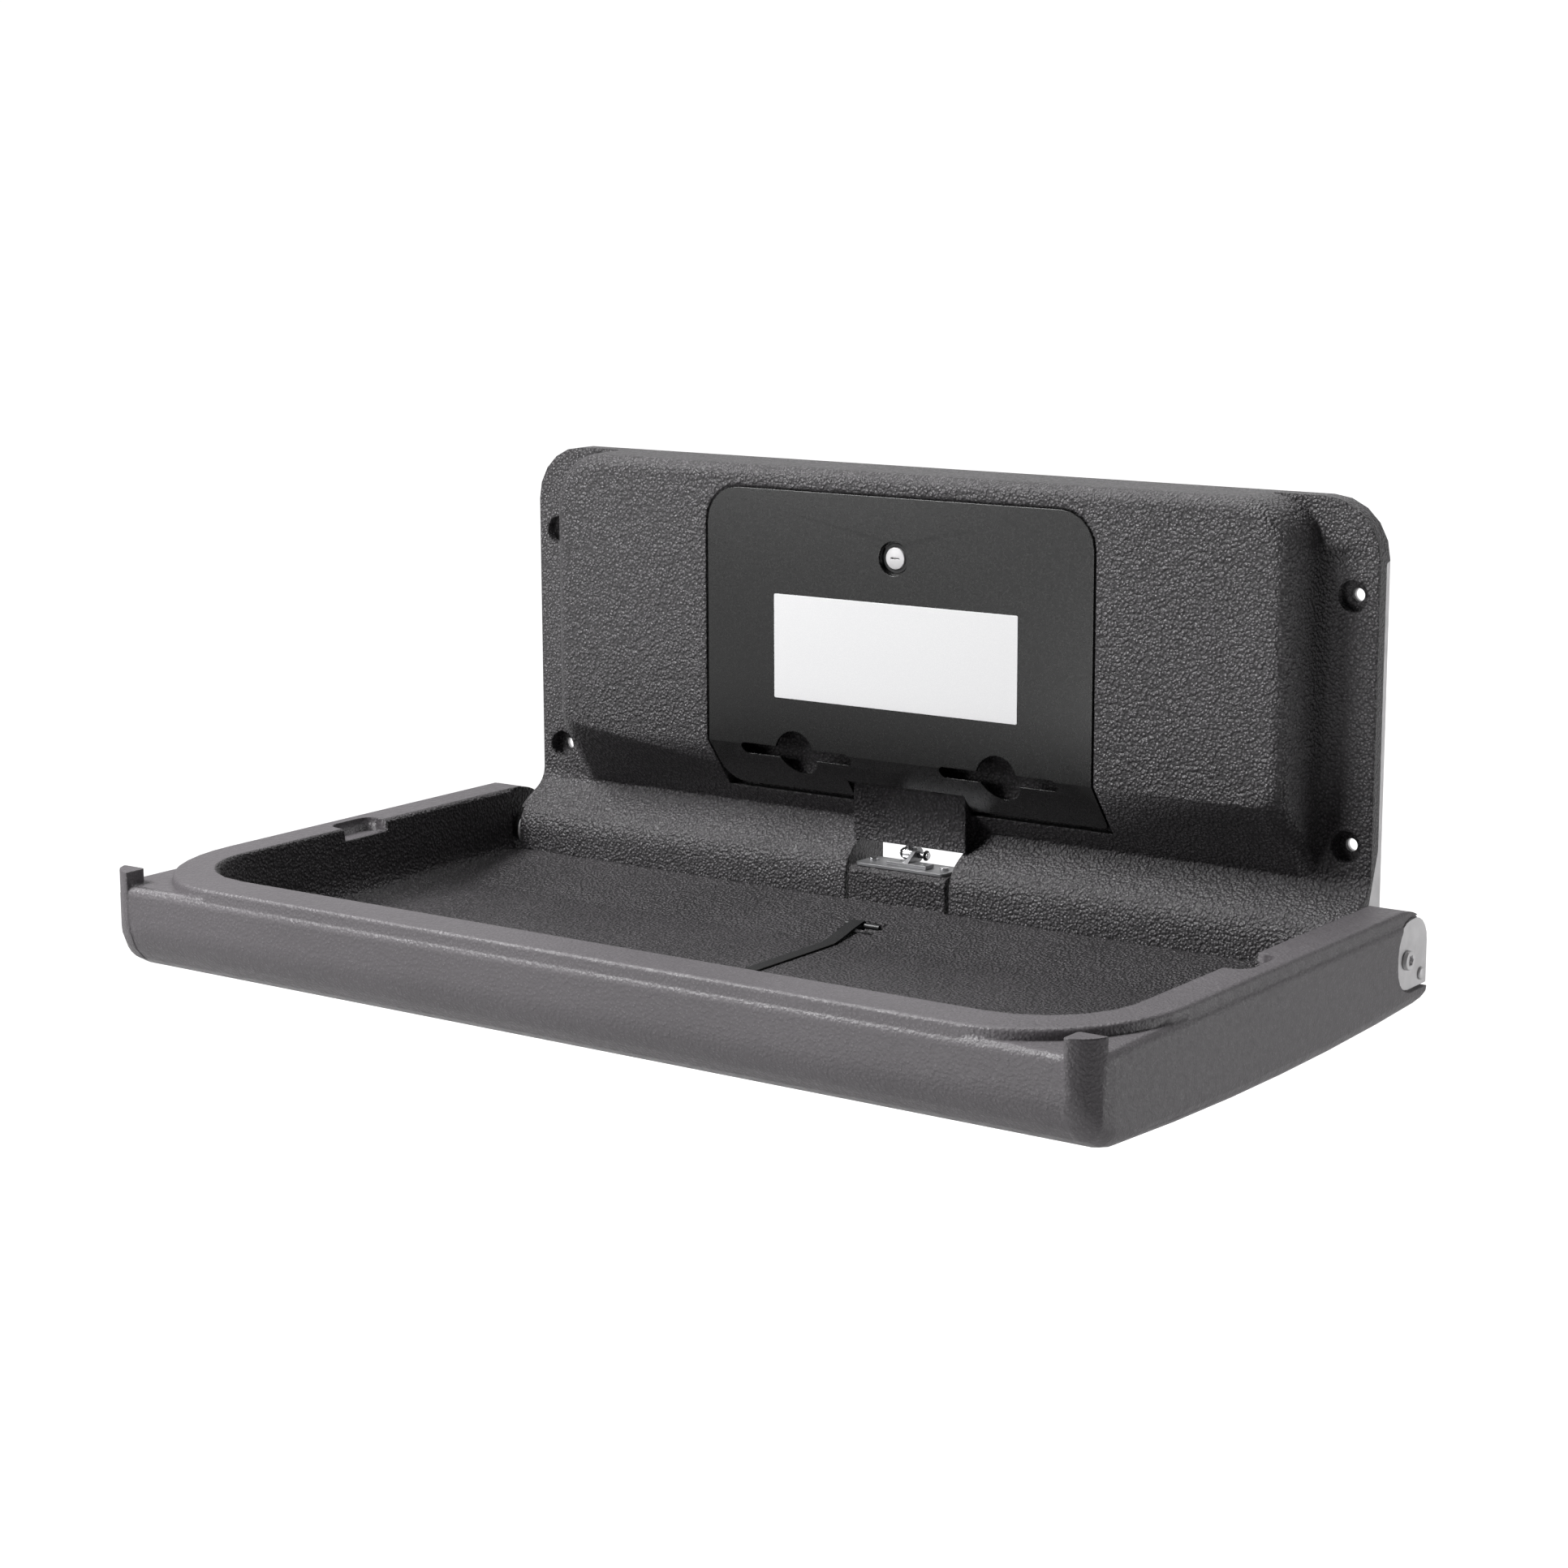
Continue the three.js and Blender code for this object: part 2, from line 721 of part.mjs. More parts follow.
/** Shoulder bolt along X, its head outermost; X = 0 is the underside of its head. */
function pivotBoltForm() {
  const reach = plateFace + seatGap - rollEnd + roll.endWall + pivotBolt.nut;
  return turned([
    [0, -reach],
    [pivotBolt.radius, -reach],
    [pivotBolt.radius, 0],
    [pivotBolt.headRadius, 0],
    [pivotBolt.headRadius, pivotBolt.head],
    [0, pivotBolt.head],
  ]);
}

/** Nut on the bolt's inner end; X = 0 is its outer face. */
function pivotNut() {
  const body = solid(bar('x', pivotBolt.nutRadius, -pivotBolt.nut, 0, [0, 0], 6));
  const bore = solid(bar('x', pivotBolt.radius + seatGap, -pivotBolt.nut - overrun, overrun));
  return geometryOf(cut(body, bore));
}

// Tray

/** Height of the underside at a distance from the wall: a shallow bow, lowest at the belly. */
function underside(depth) {
  const share = (depth - tray.bellyDepth) / tray.bowSpan;
  return tray.belly + tray.bowRise * share * share;
}

/** Section of the tray's body, whose front face is so far from the wall, at a distance from it. */
function trayLoop(front, depth) {
  const fromFront = front - depth;
  const round = (radius) => {
    const left = Math.max(0, radius - fromFront);
    return radius - Math.sqrt(radius * radius - left * left);
  };
  const halfWidth = trayHalfWidth - round(tray.cornerRadius);
  const foot = underside(depth) + round(tray.footRadius);
  return filleted([
    [-halfWidth, foot, tray.sideFootRadius],
    [halfWidth, foot, tray.sideFootRadius],
    [halfWidth, tray.rim - tray.rimStep, tray.shelfRadius],
    [-halfWidth, tray.rim - tray.rimStep, tray.shelfRadius],
  ]).map((p) => new THREE.Vector3(p.x, -depth, p.y));
}

function trayBody(front) {
  const straightShares = [0, 0.17, 0.34, 0.5, 0.66, 0.83];
  const straight = front - tray.footRadius;
  const depths = straightShares.map((share) => straight * share);
  quarter.forEach((angle) => depths.push(straight + tray.footRadius * Math.sin(angle)));
  return solid(loft(depths.map((depth) => trayLoop(front, depth)), 'y'));
}

/** What the rounded edge between the front face and its shelf takes off. */
function shelfRounding(front) {
  const shelf = tray.rim - tray.rimStep;
  const [back, low] = [-front + tray.shelfRadius, shelf - tray.shelfRadius];
  const reach = trayHalfWidth + overrun;
  return cut(
    solid(brick(-reach, reach, -front - overrun, back, low, shelf + overrun)),
    solid(bar('x', tray.shelfRadius, -reach - overrun, reach + overrun, [back, low], boreSides * 2)),
  );
}

/** Rim loop whose front corners are quarter ellipses, moved inwards by an inset, at a height. */
function rimLoop(inset, height) {
  const halfWidth = trayHalfWidth - tray.rimInset - inset;
  const front = tray.depth - cornerPost.proud - tray.rimInset - inset;
  const [across, along] = [tray.rimCornerX - inset, tray.rimCornerY - inset];
  const right = ellipseTurn.map((angle) => new THREE.Vector3(
    halfWidth - across * (1 - Math.sin(angle)),
    -front + along * (1 - Math.cos(angle)),
    height,
  ));
  const left = right.map((p) => new THREE.Vector3(-p.x, p.y, height)).reverse();
  return [
    new THREE.Vector3(-halfWidth, 0, height),
    ...left,
    ...right,
    new THREE.Vector3(halfWidth, 0, height),
  ];
}

/** Loop of a rounded rectangle open to the wall side, at a height. */
function planLoop(halfWidth, front, rear, radius, height) {
  return filleted([
    [-halfWidth, rear, 0],
    [-halfWidth, -front, radius],
    [halfWidth, -front, radius],
    [halfWidth, rear, 0],
  ]).map((p) => new THREE.Vector3(p.x, p.y, height));
}

function rimForm() {
  const loops = [rimLoop(0, tray.rim - tray.rimBase)];
  quarter.forEach((angle) => {
    const inset = tray.rimDraft + tray.edgeRadius * (1 - Math.cos(angle));
    const height = tray.rim - tray.edgeRadius * (1 - Math.sin(angle));
    loops.push(rimLoop(inset, height));
  });
  return solid(loft(loops, 'z'));
}

/** The bed's hollow: drafted walls, a cove all round the floor and a rounded edge at the rim. */
function bedHollow() {
  const rear = -tray.rear + overrun;
  const at = (inset, height) => planLoop(
    bedHalfWidth - inset,
    bedDepth - inset,
    rear,
    bed.cornerRadius,
    height,
  );
  const loops = quarter.map((angle) => at(
    bed.draft + bed.cove * (1 - Math.sin(angle)),
    bed.floor + bed.cove * (1 - Math.cos(angle)),
  ));
  loops.push(at(0, tray.rim - bed.lipRadius));
  loops.push(at(-bed.lipRadius, tray.rim));
  loops.push(at(-bed.lipRadius, tray.rim + overrun));
  const ramp = prism('x', [
    new THREE.Vector2(rear + overrun, bed.rearFloor),
    new THREE.Vector2(-tray.rear, bed.rearFloor),
    new THREE.Vector2(-bed.rampDepth, bed.floor),
    new THREE.Vector2(-bed.rampDepth, bed.floor - overrun),
    new THREE.Vector2(rear + overrun, bed.floor - overrun),
  ], -trayHalfWidth, trayHalfWidth);
  return solid(loft(loops, 'z')).subtract(solid(ramp));
}

/** What may stay of the tray behind its pivot: a round end about the pivot, and a lip below. */
function armLimit() {
  const reach = trayHalfWidth + overrun;
  const ahead = solid(brick(-reach, reach, -tray.depth - overrun, -pivot.depth, tray.belly - overrun, 0));
  const pivotAt = [-pivot.depth, pivot.height];
  const round = solid(bar('x', tray.rearRadius, -reach, reach, pivotAt, boreSides * 3));
  const lip = solid(prism('x', filleted([
    [-pivot.depth - overrun, rearLip.top, 0],
    [-rearLip.depth, rearLip.top, rearLip.radius],
    [-rearLip.depth, rearLip.foot + rearLip.radius, rearLip.radius],
    [-pivot.depth / 2, rearLip.foot - overrun, 0],
    [-pivot.depth - overrun, rearLip.foot - overrun, 0],
  ]), -reach, reach));
  return join(ahead, round, lip);
}

/** Outline of the D-shaped hinge plate in [y, z], grown by a gap. */
function hingePlateOutline(grow) {
  const { front, rear, top, foot, backRadius, noseRadius } = hingePlate;
  const back = grow ? overrun : -rear;
  return filleted([
    [back, foot - grow, grow ? 0 : 1],
    [-front - grow, foot - grow, backRadius + grow],
    [-front - grow, top + grow, noseRadius + grow],
    [back, top + grow, grow ? 0 : backRadius],
  ]);
}

/** Upright prism of the tray's plan, with its rounded front corners. */
function planPrism(foot, top) {
  const { depth, cornerRadius } = tray;
  return solid(prism('z', filleted([
    [-trayHalfWidth, 0, 0],
    [-trayHalfWidth, -depth, cornerRadius],
    [trayHalfWidth, -depth, cornerRadius],
    [trayHalfWidth, 0, 0],
  ]), foot, top));
}

/** Posts at the front corners; each goes on down the front face as a slightly proud band. */
function cornerPosts() {
  const base = tray.rim - tray.rimStep - tray.shelfRadius;
  const top = tray.rim + cornerPost.rise;
  const { width, depth, innerRadius } = cornerPost;
  return [-1, 1].map((side) => {
    const out = side * trayHalfWidth;
    const inner = out - side * width;
    const outline = filleted([
      [out, -tray.depth, 0],
      [inner, -tray.depth, innerRadius],
      [inner, -tray.depth + depth, innerRadius],
      [out, -tray.depth + depth, innerRadius],
    ]);
    const post = solid(prism('z', outline, base, top)).intersect(planPrism(base, top));
    const band = solid(prism('z', outline, tray.belly, base + overrun)).intersect(trayBody(tray.depth));
    return join(post, band.subtract(solid(brick(
      -trayHalfWidth,
      trayHalfWidth,
      -tray.depth,
      0,
      base,
      top,
    ))));
  });
}

function tongueForm() {
  const { halfWidth, depth, wall, top, shelf, rear, noseRadius } = tongue;
  const foot = underside(tray.rear);
  return solid(prism('x', filleted([
    [-tray.rear - wall, foot, 0],
    [-tray.rear - wall, bed.rearFloor - wall, 0],
    [-depth, bed.rearFloor, 0],
    [-depth, top, noseRadius],
    [-rear, top, 0],
    [-rear, top - shelf, 0],
    [-depth + wall, top - shelf, noseRadius],
    [-depth + wall, foot, 0],
  ]), -halfWidth, halfWidth));
}

/** Scooped recess that an anchor bar of the strap crosses. */
function anchorScoop({ depth, height }) {
  const { reach, radius } = anchorRecess;
  return solid(prism('x', filleted([
    [-depth - reach, height + bed.cove, 0],
    [-depth - reach, height - anchorRecess.depth, radius],
    [-depth + reach, height - anchorRecess.depth, radius],
    [-depth + reach, height + bed.cove, 0],
  ]), -anchor.halfWidth, anchor.halfWidth));
}

function trayShell() {
  const front = tray.depth - cornerPost.proud;
  const body = trayBody(front).subtract(shelfRounding(front));
  const outer = join(body, rimForm(), ...cornerPosts()).intersect(armLimit());
  const wallUnitRoom = solid(brick(
    -bedHalfWidth,
    bedHalfWidth,
    -tray.rear,
    overrun,
    tray.belly - overrun,
    tray.rim + overrun,
  ));
  const notches = [-1, 1].map((side) => {
    const ends = [side * (bedHalfWidth - overrun), side * (bedHalfWidth + hookNotch.reach)];
    const outline = filleted([
      [ends[0], -hookNotch.front, 0],
      [ends[0], -hookNotch.rear, 0],
      [ends[1], -hookNotch.rear, hookNotch.radius],
      [ends[1], -hookNotch.front, hookNotch.radius],
    ]);
    return solid(prism('z', outline, tray.rim - hookNotch.depth, tray.rim + overrun));
  });
  let shell = cut(outer, bedHollow(), wallUnitRoom, ...notches);
  shell = join(shell, tongueForm());
  const recessFloor = plateFace - sheet - seatGap;
  const armCuts = [-1, 1].flatMap((side) => {
    const out = side * (trayHalfWidth + overrun);
    const inside = side * (bedHalfWidth - overrun);
    const floor = side * recessFloor;
    const across = [Math.min(inside, out), Math.max(inside, out)];
    return [
      solid(prism('x', hingePlateOutline(plateRecess.gap), Math.min(floor, out), Math.max(floor, out))),
      solid(bar('x', pivotBolt.radius + bushing.wall + seatGap, ...across, [-pivot.depth, pivot.height])),
      solid(bar('x', stopStud.radius + seatGap, ...across, [-stopStud.depth, stopStud.height])),
    ];
  });
  const scoops = [
    anchorScoop(rearAnchor),
    anchorScoop(frontAnchor),
  ];
  return geometryOf(cut(shell, ...armCuts, ...scoops));
}

/** D-shaped steel plate in the tray's right side. */
function trayHingePlate() {
  const plate = solid(prism('x', hingePlateOutline(0), plateFace - sheet, plateFace));
  const across = [plateFace - sheet - overrun, plateFace + overrun];
  return geometryOf(cut(
    plate,
    solid(bar('x', pivotBolt.radius + seatGap, ...across, [-pivot.depth, pivot.height])),
    solid(bar('x', stopStud.radius + seatGap, ...across, [-stopStud.depth, stopStud.height])),
  ));
}

/** Flanged bushing in the tray's arm; X = 0 is the arm's inner face, and its flange faces inwards. */
function bushingForm() {
  const bore = pivotBolt.radius + seatGap;
  const outer = pivotBolt.radius + bushing.wall;
  const end = plateFace - sheet - 2 * seatGap - bedHalfWidth;
  const washer = bedHalfWidth - flange.halfWidth - seatGap;
  return turned([
    [bore, -washer],
    [bushing.flangeRadius, -washer],
    [bushing.flangeRadius, -seatGap],
    [outer, -seatGap],
    [outer, end],
    [bore, end],
    [bore, -washer],
  ]);
}

/** Stop stud along X: its head lies on the hinge plate, and its end passes under the ear's shoulder.
 * X = 0 is the underside of its head. */
function stopStudForm() {
  const reach = plateFace + seatGap - (flange.halfWidth - sheet);
  return turned([
    [0, -reach],
    [stopStud.radius, -reach],
    [stopStud.radius, 0],
    [stopStud.headRadius, 0],
    [stopStud.headRadius, stopStud.head],
    [0, stopStud.head],
  ]);
}

// Steel on the tongue

const plateFoot = tongue.top + seatGap;
const plateTop = plateFoot + basePlate.thickness;
const lowerPinPlace = { depth: pivot.depth - lowerPin.behind, height: pivot.height + lowerPin.above };

function basePlateForm() {
  const { halfWidth, front, rear, corner } = basePlate;
  const plate = solid(prism('z', filleted([
    [-halfWidth, -front, corner],
    [halfWidth, -front, corner],
    [halfWidth, -rear, corner],
    [-halfWidth, -rear, corner],
  ]), plateFoot, plateTop));
  const screws = [-1, 1].map((side) => solid(bar(
    'z',
    plateScrew.radius + seatGap,
    plateFoot - overrun,
    plateTop + overrun,
    [side * plateScrew.offset, -(basePlate.front + basePlate.rear) / 2],
  )));
  return geometryOf(cut(plate, ...screws));
}

/** Lug with a ring at its top that the lower pin crosses, on a foot with two pads. */
function lugForm() {
  const { left, thickness, footLeft, footRight, front, rear, foot, ring } = lug;
  const base = plateTop + seatGap;
  const { depth, height } = lowerPinPlace;
  const pads = solid(brick(-footLeft, footRight, -front, -rear, base, base + foot));
  const stem = solid(prism('x', [
    new THREE.Vector2(-front, base),
    new THREE.Vector2(-front, base + foot),
    new THREE.Vector2(-depth - ring * Math.SQRT1_2, height + ring * Math.SQRT1_2),
    new THREE.Vector2(-depth, height),
    new THREE.Vector2(-depth, base),
  ], left, left + thickness));
  const head = solid(bar('x', ring, left, left + thickness, [-depth, height]));
  const across = [left - overrun, left + thickness + overrun];
  const bore = solid(bar('x', lowerPin.radius + seatGap, ...across, [-depth, height]));
  return geometryOf(cut(join(pads, stem, head), bore));
}

/** Screw through the base plate into the tongue; Z = 0 is the underside of its head. */
function plateScrewForm() {
  const shank = basePlate.thickness;
  const geometry = turned([
    [0, -shank],
    [plateScrew.radius, -shank],
    [plateScrew.radius, 0],
    [plateScrew.headRadius, 0],
    [plateScrew.headRadius, plateScrew.head],
    [0, plateScrew.head],
  ]);
  return geometry.rotateY(-Math.PI / 2);
}

/** Pin along X with a groove near each end; X = 0 is the middle of the tray. */
function groovedPin(radius, left, right) {
  const neck = radius - clip.inset;
  const groove = clip.width + 2 * seatGap;
  const profile = [[0, -left], [radius, -left]];
  [[-left + clip.width, 1], [right - clip.width - groove, 1]].forEach(([at]) => {
    profile.push([radius, at], [neck, at], [neck, at + groove], [radius, at + groove]);
  });
  profile.push([radius, right], [0, right]);
  return turned(profile);
}

/** Retaining ring in a pin's groove; X = 0 is its middle. */
function clipForm(pinRadius) {
  const inner = pinRadius - clip.inset + seatGap;
  const outer = pinRadius + clip.radius - lowerPin.radius;
  return turned([
    [inner, -clip.width / 2],
    [outer, -clip.width / 2],
    [outer, clip.width / 2],
    [inner, clip.width / 2],
    [inner, -clip.width / 2],
  ]);
}

/** Place of a retaining ring's middle on a grooved pin. */
const clipPlace = (left, right) => [
  -left + clip.width * 1.5 + seatGap,
  right - clip.width * 1.5 - seatGap,
];

// Damper. Its own group has Z along the rod, from the lower pin up to the upper pin.

const damperSpan = {
  y: lowerPinPlace.depth - upperPin.depth,
  z: upperPin.height - lowerPinPlace.height,
};
const damperLength = Math.hypot(damperSpan.y, damperSpan.z);
const damperTilt = -Math.atan2(damperSpan.y, damperSpan.z);

function damperRod() {
  const { radius, eyeRadius, eyeLength, reach } = rod;
  const eye = solid(bar('x', eyeRadius, -eyeLength, lug.left - runningGap - seatGap));
  const shank = solid(bar('z', radius, 0, reach, [-eyeLength / 2, 0]));
  const bore = solid(bar('x', lowerPin.radius + seatGap, -eyeLength - overrun, lug.left + overrun));
  return geometryOf(cut(join(eye, shank), bore));
}

function damperPiston() {
  const bore = damper.radius - damper.wall - seatGap;
  return bar('z', bore, rod.reach + seatGap, rod.reach + seatGap + rod.piston, [-rod.eyeLength / 2, 0]);
}

function damperCylinder() {
  const middle = -rod.eyeLength / 2;
  const tubeTop = damperLength - damper.eyeRadius - seatGap;
  const tube = solid(bar('z', damper.radius, damper.foot, tubeTop, [middle, 0]));
  const boreEnds = [damper.foot - overrun, tubeTop - damper.wall * 2];
  const bore = solid(bar('z', damper.radius - damper.wall, ...boreEnds, [middle, 0]));
  const half = damper.eyeWidth / 2;
  const eye = solid(bar('x', damper.eyeRadius, middle - half, middle + half, [0, damperLength]));
  const neck = solid(bar('z', damper.eyeWidth / 2, tubeTop - damper.wall, damperLength, [middle, 0]));
  const across = [middle - half - overrun, middle + half + overrun];
  const pinBore = solid(bar('x', upperPin.radius + seatGap, ...across, [0, damperLength]));
  return geometryOf(cut(join(cut(tube, bore), eye, neck), pinBore));
}

/** Guide that closes the cylinder's mouth round the rod. */
function rodGuide() {
  const place = [-rod.eyeLength / 2, 0];
  const outer = damper.radius - damper.wall - seatGap;
  const foot = damper.foot - seatGap - damper.guideFace;
  const top = damper.foot + damper.guide;
  const plug = solid(bar('z', outer, foot, top, place));
  const face = solid(bar('z', damper.radius, foot, damper.foot - seatGap, place));
  const bore = solid(bar('z', rod.radius + seatGap, foot - overrun, top + overrun, place));
  return geometryOf(cut(join(plug, face), bore));
}

/** Right cheek of the damper's wall bracket: a foot on the rail and a slotted plate beside the eye. */
function cheekForm() {
  const { inner, thickness, footReach, front, top, foot, slotFront, slotRear, slotFoot, slotTop } = cheek;
  const back = -sheet - seatGap;
  const plate = solid(prism('x', filleted([
    [back, foot, 0],
    [back, top, 0],
    [-front, top, thickness * 2],
    [-front, slotFoot - thickness * 2, thickness * 2],
    [back - thickness * 2, rail.halfHeight, 0],
    [back - thickness * 2, foot, 0],
  ]), inner, inner + thickness));
  const pad = solid(brick(inner, inner + footReach, back - thickness, back, foot, -foot));
  const slotHole = solid(prism('x', filleted([
    [-slotRear, slotFoot, thickness],
    [-slotRear, slotTop, thickness],
    [-slotFront, slotTop, thickness],
    [-slotFront, slotFoot, thickness],
  ]), inner - overrun, inner + thickness + overrun));
  return geometryOf(cut(join(plate, pad), slotHole));
}

// Door and lock

function slotOutline(side) {
  const { halfLength, height, centre } = slot;
  const middle = side * slotOffset;
  return filleted([
    [middle - halfLength, centre - height / 2, height / 2],
    [middle + halfLength, centre - height / 2, height / 2],
    [middle + halfLength, centre + height / 2, height / 2],
    [middle - halfLength, centre + height / 2, height / 2],
  ]);
}

function linerDoor() {
  const panel = solid(prism('y', doorOutline(0), -box.depth - overrun, 0))
    .intersect(cut(inFront(door.wall), inFront(0)));
  const { notchHalfWidth, notchTop } = door;
  const notch = solid(brick(-notchHalfWidth, notchHalfWidth, -box.depth, 0, -flange.top, notchTop));
  const through = [-box.depth - overrun, 0];
  const slots = [-1, 1].flatMap((side) => [
    solid(prism('y', slotOutline(side), ...through)),
    solid(bar('y', slot.thumb, ...through, [side * slotOffset, slot.centre], boreSides)),
  ]);
  const front = -box.depth - overrun;
  const cupFloor = -box.depth + lock.cupDepth;
  const cupEnds = [-box.depth + door.wall / 2, cupFloor + lock.cupFloor];
  const atLock = (radius, from, to) => solid(bar('y', radius, from, to, [0, lock.height], boreSides));
  const cup = atLock(lock.cupRadius + lock.cupWall, ...cupEnds);
  const cupHollow = atLock(lock.cupRadius, front, cupFloor);
  const lockHole = atLock(lock.bodyRadius + seatGap, front, 0);

  const knuckles = [-1, 1].map((side) => {
    const far = pocketHalfWidth - runningGap;
    const ends = [side * far, side * (far - doorHinge.knuckle)];
    const [from, to] = [Math.min(...ends), Math.max(...ends)];
    const place = [-doorHingeDepth, doorHinge.height];
    const tube = solid(bar('x', doorHinge.knuckleRadius, from, to, place));
    const web = solid(brick(
      from,
      to,
      -faceDepth(doorHinge.height, door.wall / 2),
      -doorHingeDepth,
      doorHinge.height - doorHinge.pinRadius / 2,
      doorHinge.height + doorHinge.knuckleRadius,
    ));
    const bore = solid(bar('x', doorHinge.pinRadius + seatGap, from - overrun, to + overrun, place));
    return join(tube, web).subtract(bore);
  });
  return geometryOf(join(cut(join(panel, cup), notch, ...slots, cupHollow, lockHole), ...knuckles));
}

/** Door hinge pin along X; X = 0 is the face of its boss. */
function doorHingePin() {
  const knuckleEnd = pocketHalfWidth - runningGap - doorHinge.knuckle - doorHingeFace;
  const seat = doorHinge.boss - skin - seatGap;
  return bar('x', doorHinge.pinRadius, knuckleEnd, seat);
}

// The lock's own group has its origin on the door's cup floor, with Z into the wall.

function lockBody() {
  const bore = lock.plugRadius + seatGap;
  const { bodyRadius, rimRadius, rim, body } = lock;
  return new THREE.LatheGeometry([
    [bore, -rim - seatGap],
    [rimRadius, -rim - seatGap],
    [rimRadius, -seatGap],
    [bodyRadius, -seatGap],
    [bodyRadius, body],
    [bore, body],
    [bore, -rim - seatGap],
  ].map(([r, at]) => new THREE.Vector2(r, at)), boreSides);
}

function lockPlug() {
  const { plugRadius, plugProud, body, tailRadius, keySlot, keyWidth, keyDepth } = lock;
  const face = -lock.rim - seatGap - plugProud;
  const [halfSlot, halfKey] = [keySlot / 2, keyWidth / 2];
  const plug = solid(bar('y', plugRadius, face, body, [0, 0], boreSides));
  const tail = solid(bar('y', tailRadius, body - overrun, body + seatGap + cam.thickness));
  const key = solid(brick(-halfSlot, halfSlot, face - overrun, face + keyDepth, -halfKey, halfKey));
  return geometryOf(cut(join(plug, tail), key));
}

function lockNut() {
  const from = lock.cupFloor + seatGap;
  const body = solid(bar('y', lock.nutRadius, from, from + lock.nut, [0, 0], 6));
  const through = [from - overrun, from + lock.nut + overrun];
  const bore = solid(bar('y', lock.bodyRadius + seatGap, ...through, [0, 0], boreSides));
  return geometryOf(cut(body, bore));
}

/** Cam pointing along X, unlocked. */
function lockCam() {
  const from = lock.body + seatGap;
  const half = cam.width / 2;
  const arm = solid(prism('y', filleted([
    [-half, -half, half],
    [cam.reach, -half, cam.tip],
    [cam.reach, half, cam.tip],
    [-half, half, half],
  ]), from, from + cam.thickness));
  const bore = solid(bar('y', lock.tailRadius + seatGap, from - overrun, from + cam.thickness + overrun));
  return geometryOf(cut(arm, bore));
}

function camScrewForm() {
  const from = lock.body + 2 * seatGap + cam.thickness;
  return bar('y', camScrew.headRadius, from, from + camScrew.head);
}

/** Keeper on the inner face of the housing above the door, behind which the cam turns. */
function lockKeeper() {
  const front = -box.depth + door.wall + seatGap + skin + seatGap;
  const camFront = -box.depth + lock.cupDepth + lock.body + seatGap;
  return brick(-keeper.halfWidth, keeper.halfWidth, front, camFront - keeper.gap, keeper.foot, keeper.top);
}

// Strap

function anchorBar() {
  return bar('x', anchor.radius, -anchor.halfWidth + seatGap, anchor.halfWidth - seatGap);
}

const strapFoot = bed.floor + strap.lift;
const strapTop = strapFoot + strap.thickness;
const strapSpan = [strap.offset - strap.halfWidth, strap.offset + strap.halfWidth];

/** A strap half in [y, z]: a loop round its anchor bar, a slope to the floor and a flat run. */
function strapForm(place, landing, end) {
  const [barDepth, barHeight] = [place.depth, place.height];
  const inner = anchor.radius + seatGap;
  const outer = inner + strap.thickness;
  const ribbon = solid(prism('x', [
    new THREE.Vector2(-barDepth, barHeight + inner),
    new THREE.Vector2(-barDepth, barHeight + outer),
    new THREE.Vector2(-landing, strapTop),
    new THREE.Vector2(-end, strapTop),
    new THREE.Vector2(-end, strapFoot),
    new THREE.Vector2(-landing, strapFoot),
  ], ...strapSpan));
  const loop = solid(bar('x', outer, ...strapSpan, [-barDepth, barHeight]));
  const holeEnds = [strapSpan[0] - overrun, strapSpan[1] + overrun];
  const hole = solid(bar('x', inner, ...holeEnds, [-barDepth, barHeight]));
  return geometryOf(cut(join(ribbon, loop), hole));
}

/** Buckle half with the prongs, on the rear strap. */
function buckleTongue() {
  const { halfWidth, height, prong, prongThickness } = buckle;
  const [left, right] = [strap.offset - halfWidth, strap.offset + halfWidth];
  const foot = strapFoot;
  const body = solid(brick(left, right, -buckleSplit + seatGap, -buckleRear, foot, foot + height));
  const slotRoom = solid(brick(
    strapSpan[0] - seatGap,
    strapSpan[1] + seatGap,
    -buckleSplit + prong,
    -buckleRear + overrun,
    foot - overrun,
    strapTop + seatGap,
  ));
  const prongs = [left + prongThickness, right - 2 * prongThickness].map((x) => solid(brick(
    x,
    x + prongThickness,
    -buckleSplit - prong,
    -buckleSplit + prong,
    foot + prongThickness / 2,
    foot + height - prongThickness / 2,
  )));
  return geometryOf(join(cut(body, slotRoom), ...prongs));
}

/** Buckle half that takes the prongs, on the front strap. */
function buckleSocket() {
  const { halfWidth, height, prong, prongThickness } = buckle;
  const [left, right] = [strap.offset - halfWidth, strap.offset + halfWidth];
  const foot = strapFoot;
  const body = solid(brick(left, right, -socketFront, -buckleSplit - seatGap, foot, foot + height));
  const slotRoom = solid(brick(
    strapSpan[0] - seatGap,
    strapSpan[1] + seatGap,
    -socketFront - overrun,
    -buckleSplit - prong - prongThickness,
    foot - overrun,
    strapTop + seatGap,
  ));
  const mouth = solid(brick(
    left + prongThickness - runningGap,
    right - prongThickness + runningGap,
    -buckleSplit - prong - runningGap,
    -buckleSplit + overrun,
    foot + prongThickness / 2 - runningGap,
    foot + height - prongThickness / 2 + runningGap,
  ));
  return geometryOf(cut(body, slotRoom, mouth));
}

// Assembly

const station = new THREE.Group();

/** Adds a named mesh to a group, at a place in it. */
function add(group, name, geometry, look, [x, y, z] = [0, 0, 0]) {
  const mesh = new THREE.Mesh(geometry, new THREE.MeshStandardMaterial(look));
  mesh.name = name;
  mesh.position.set(x, y, z);
  group.add(mesh);
  return mesh;
}

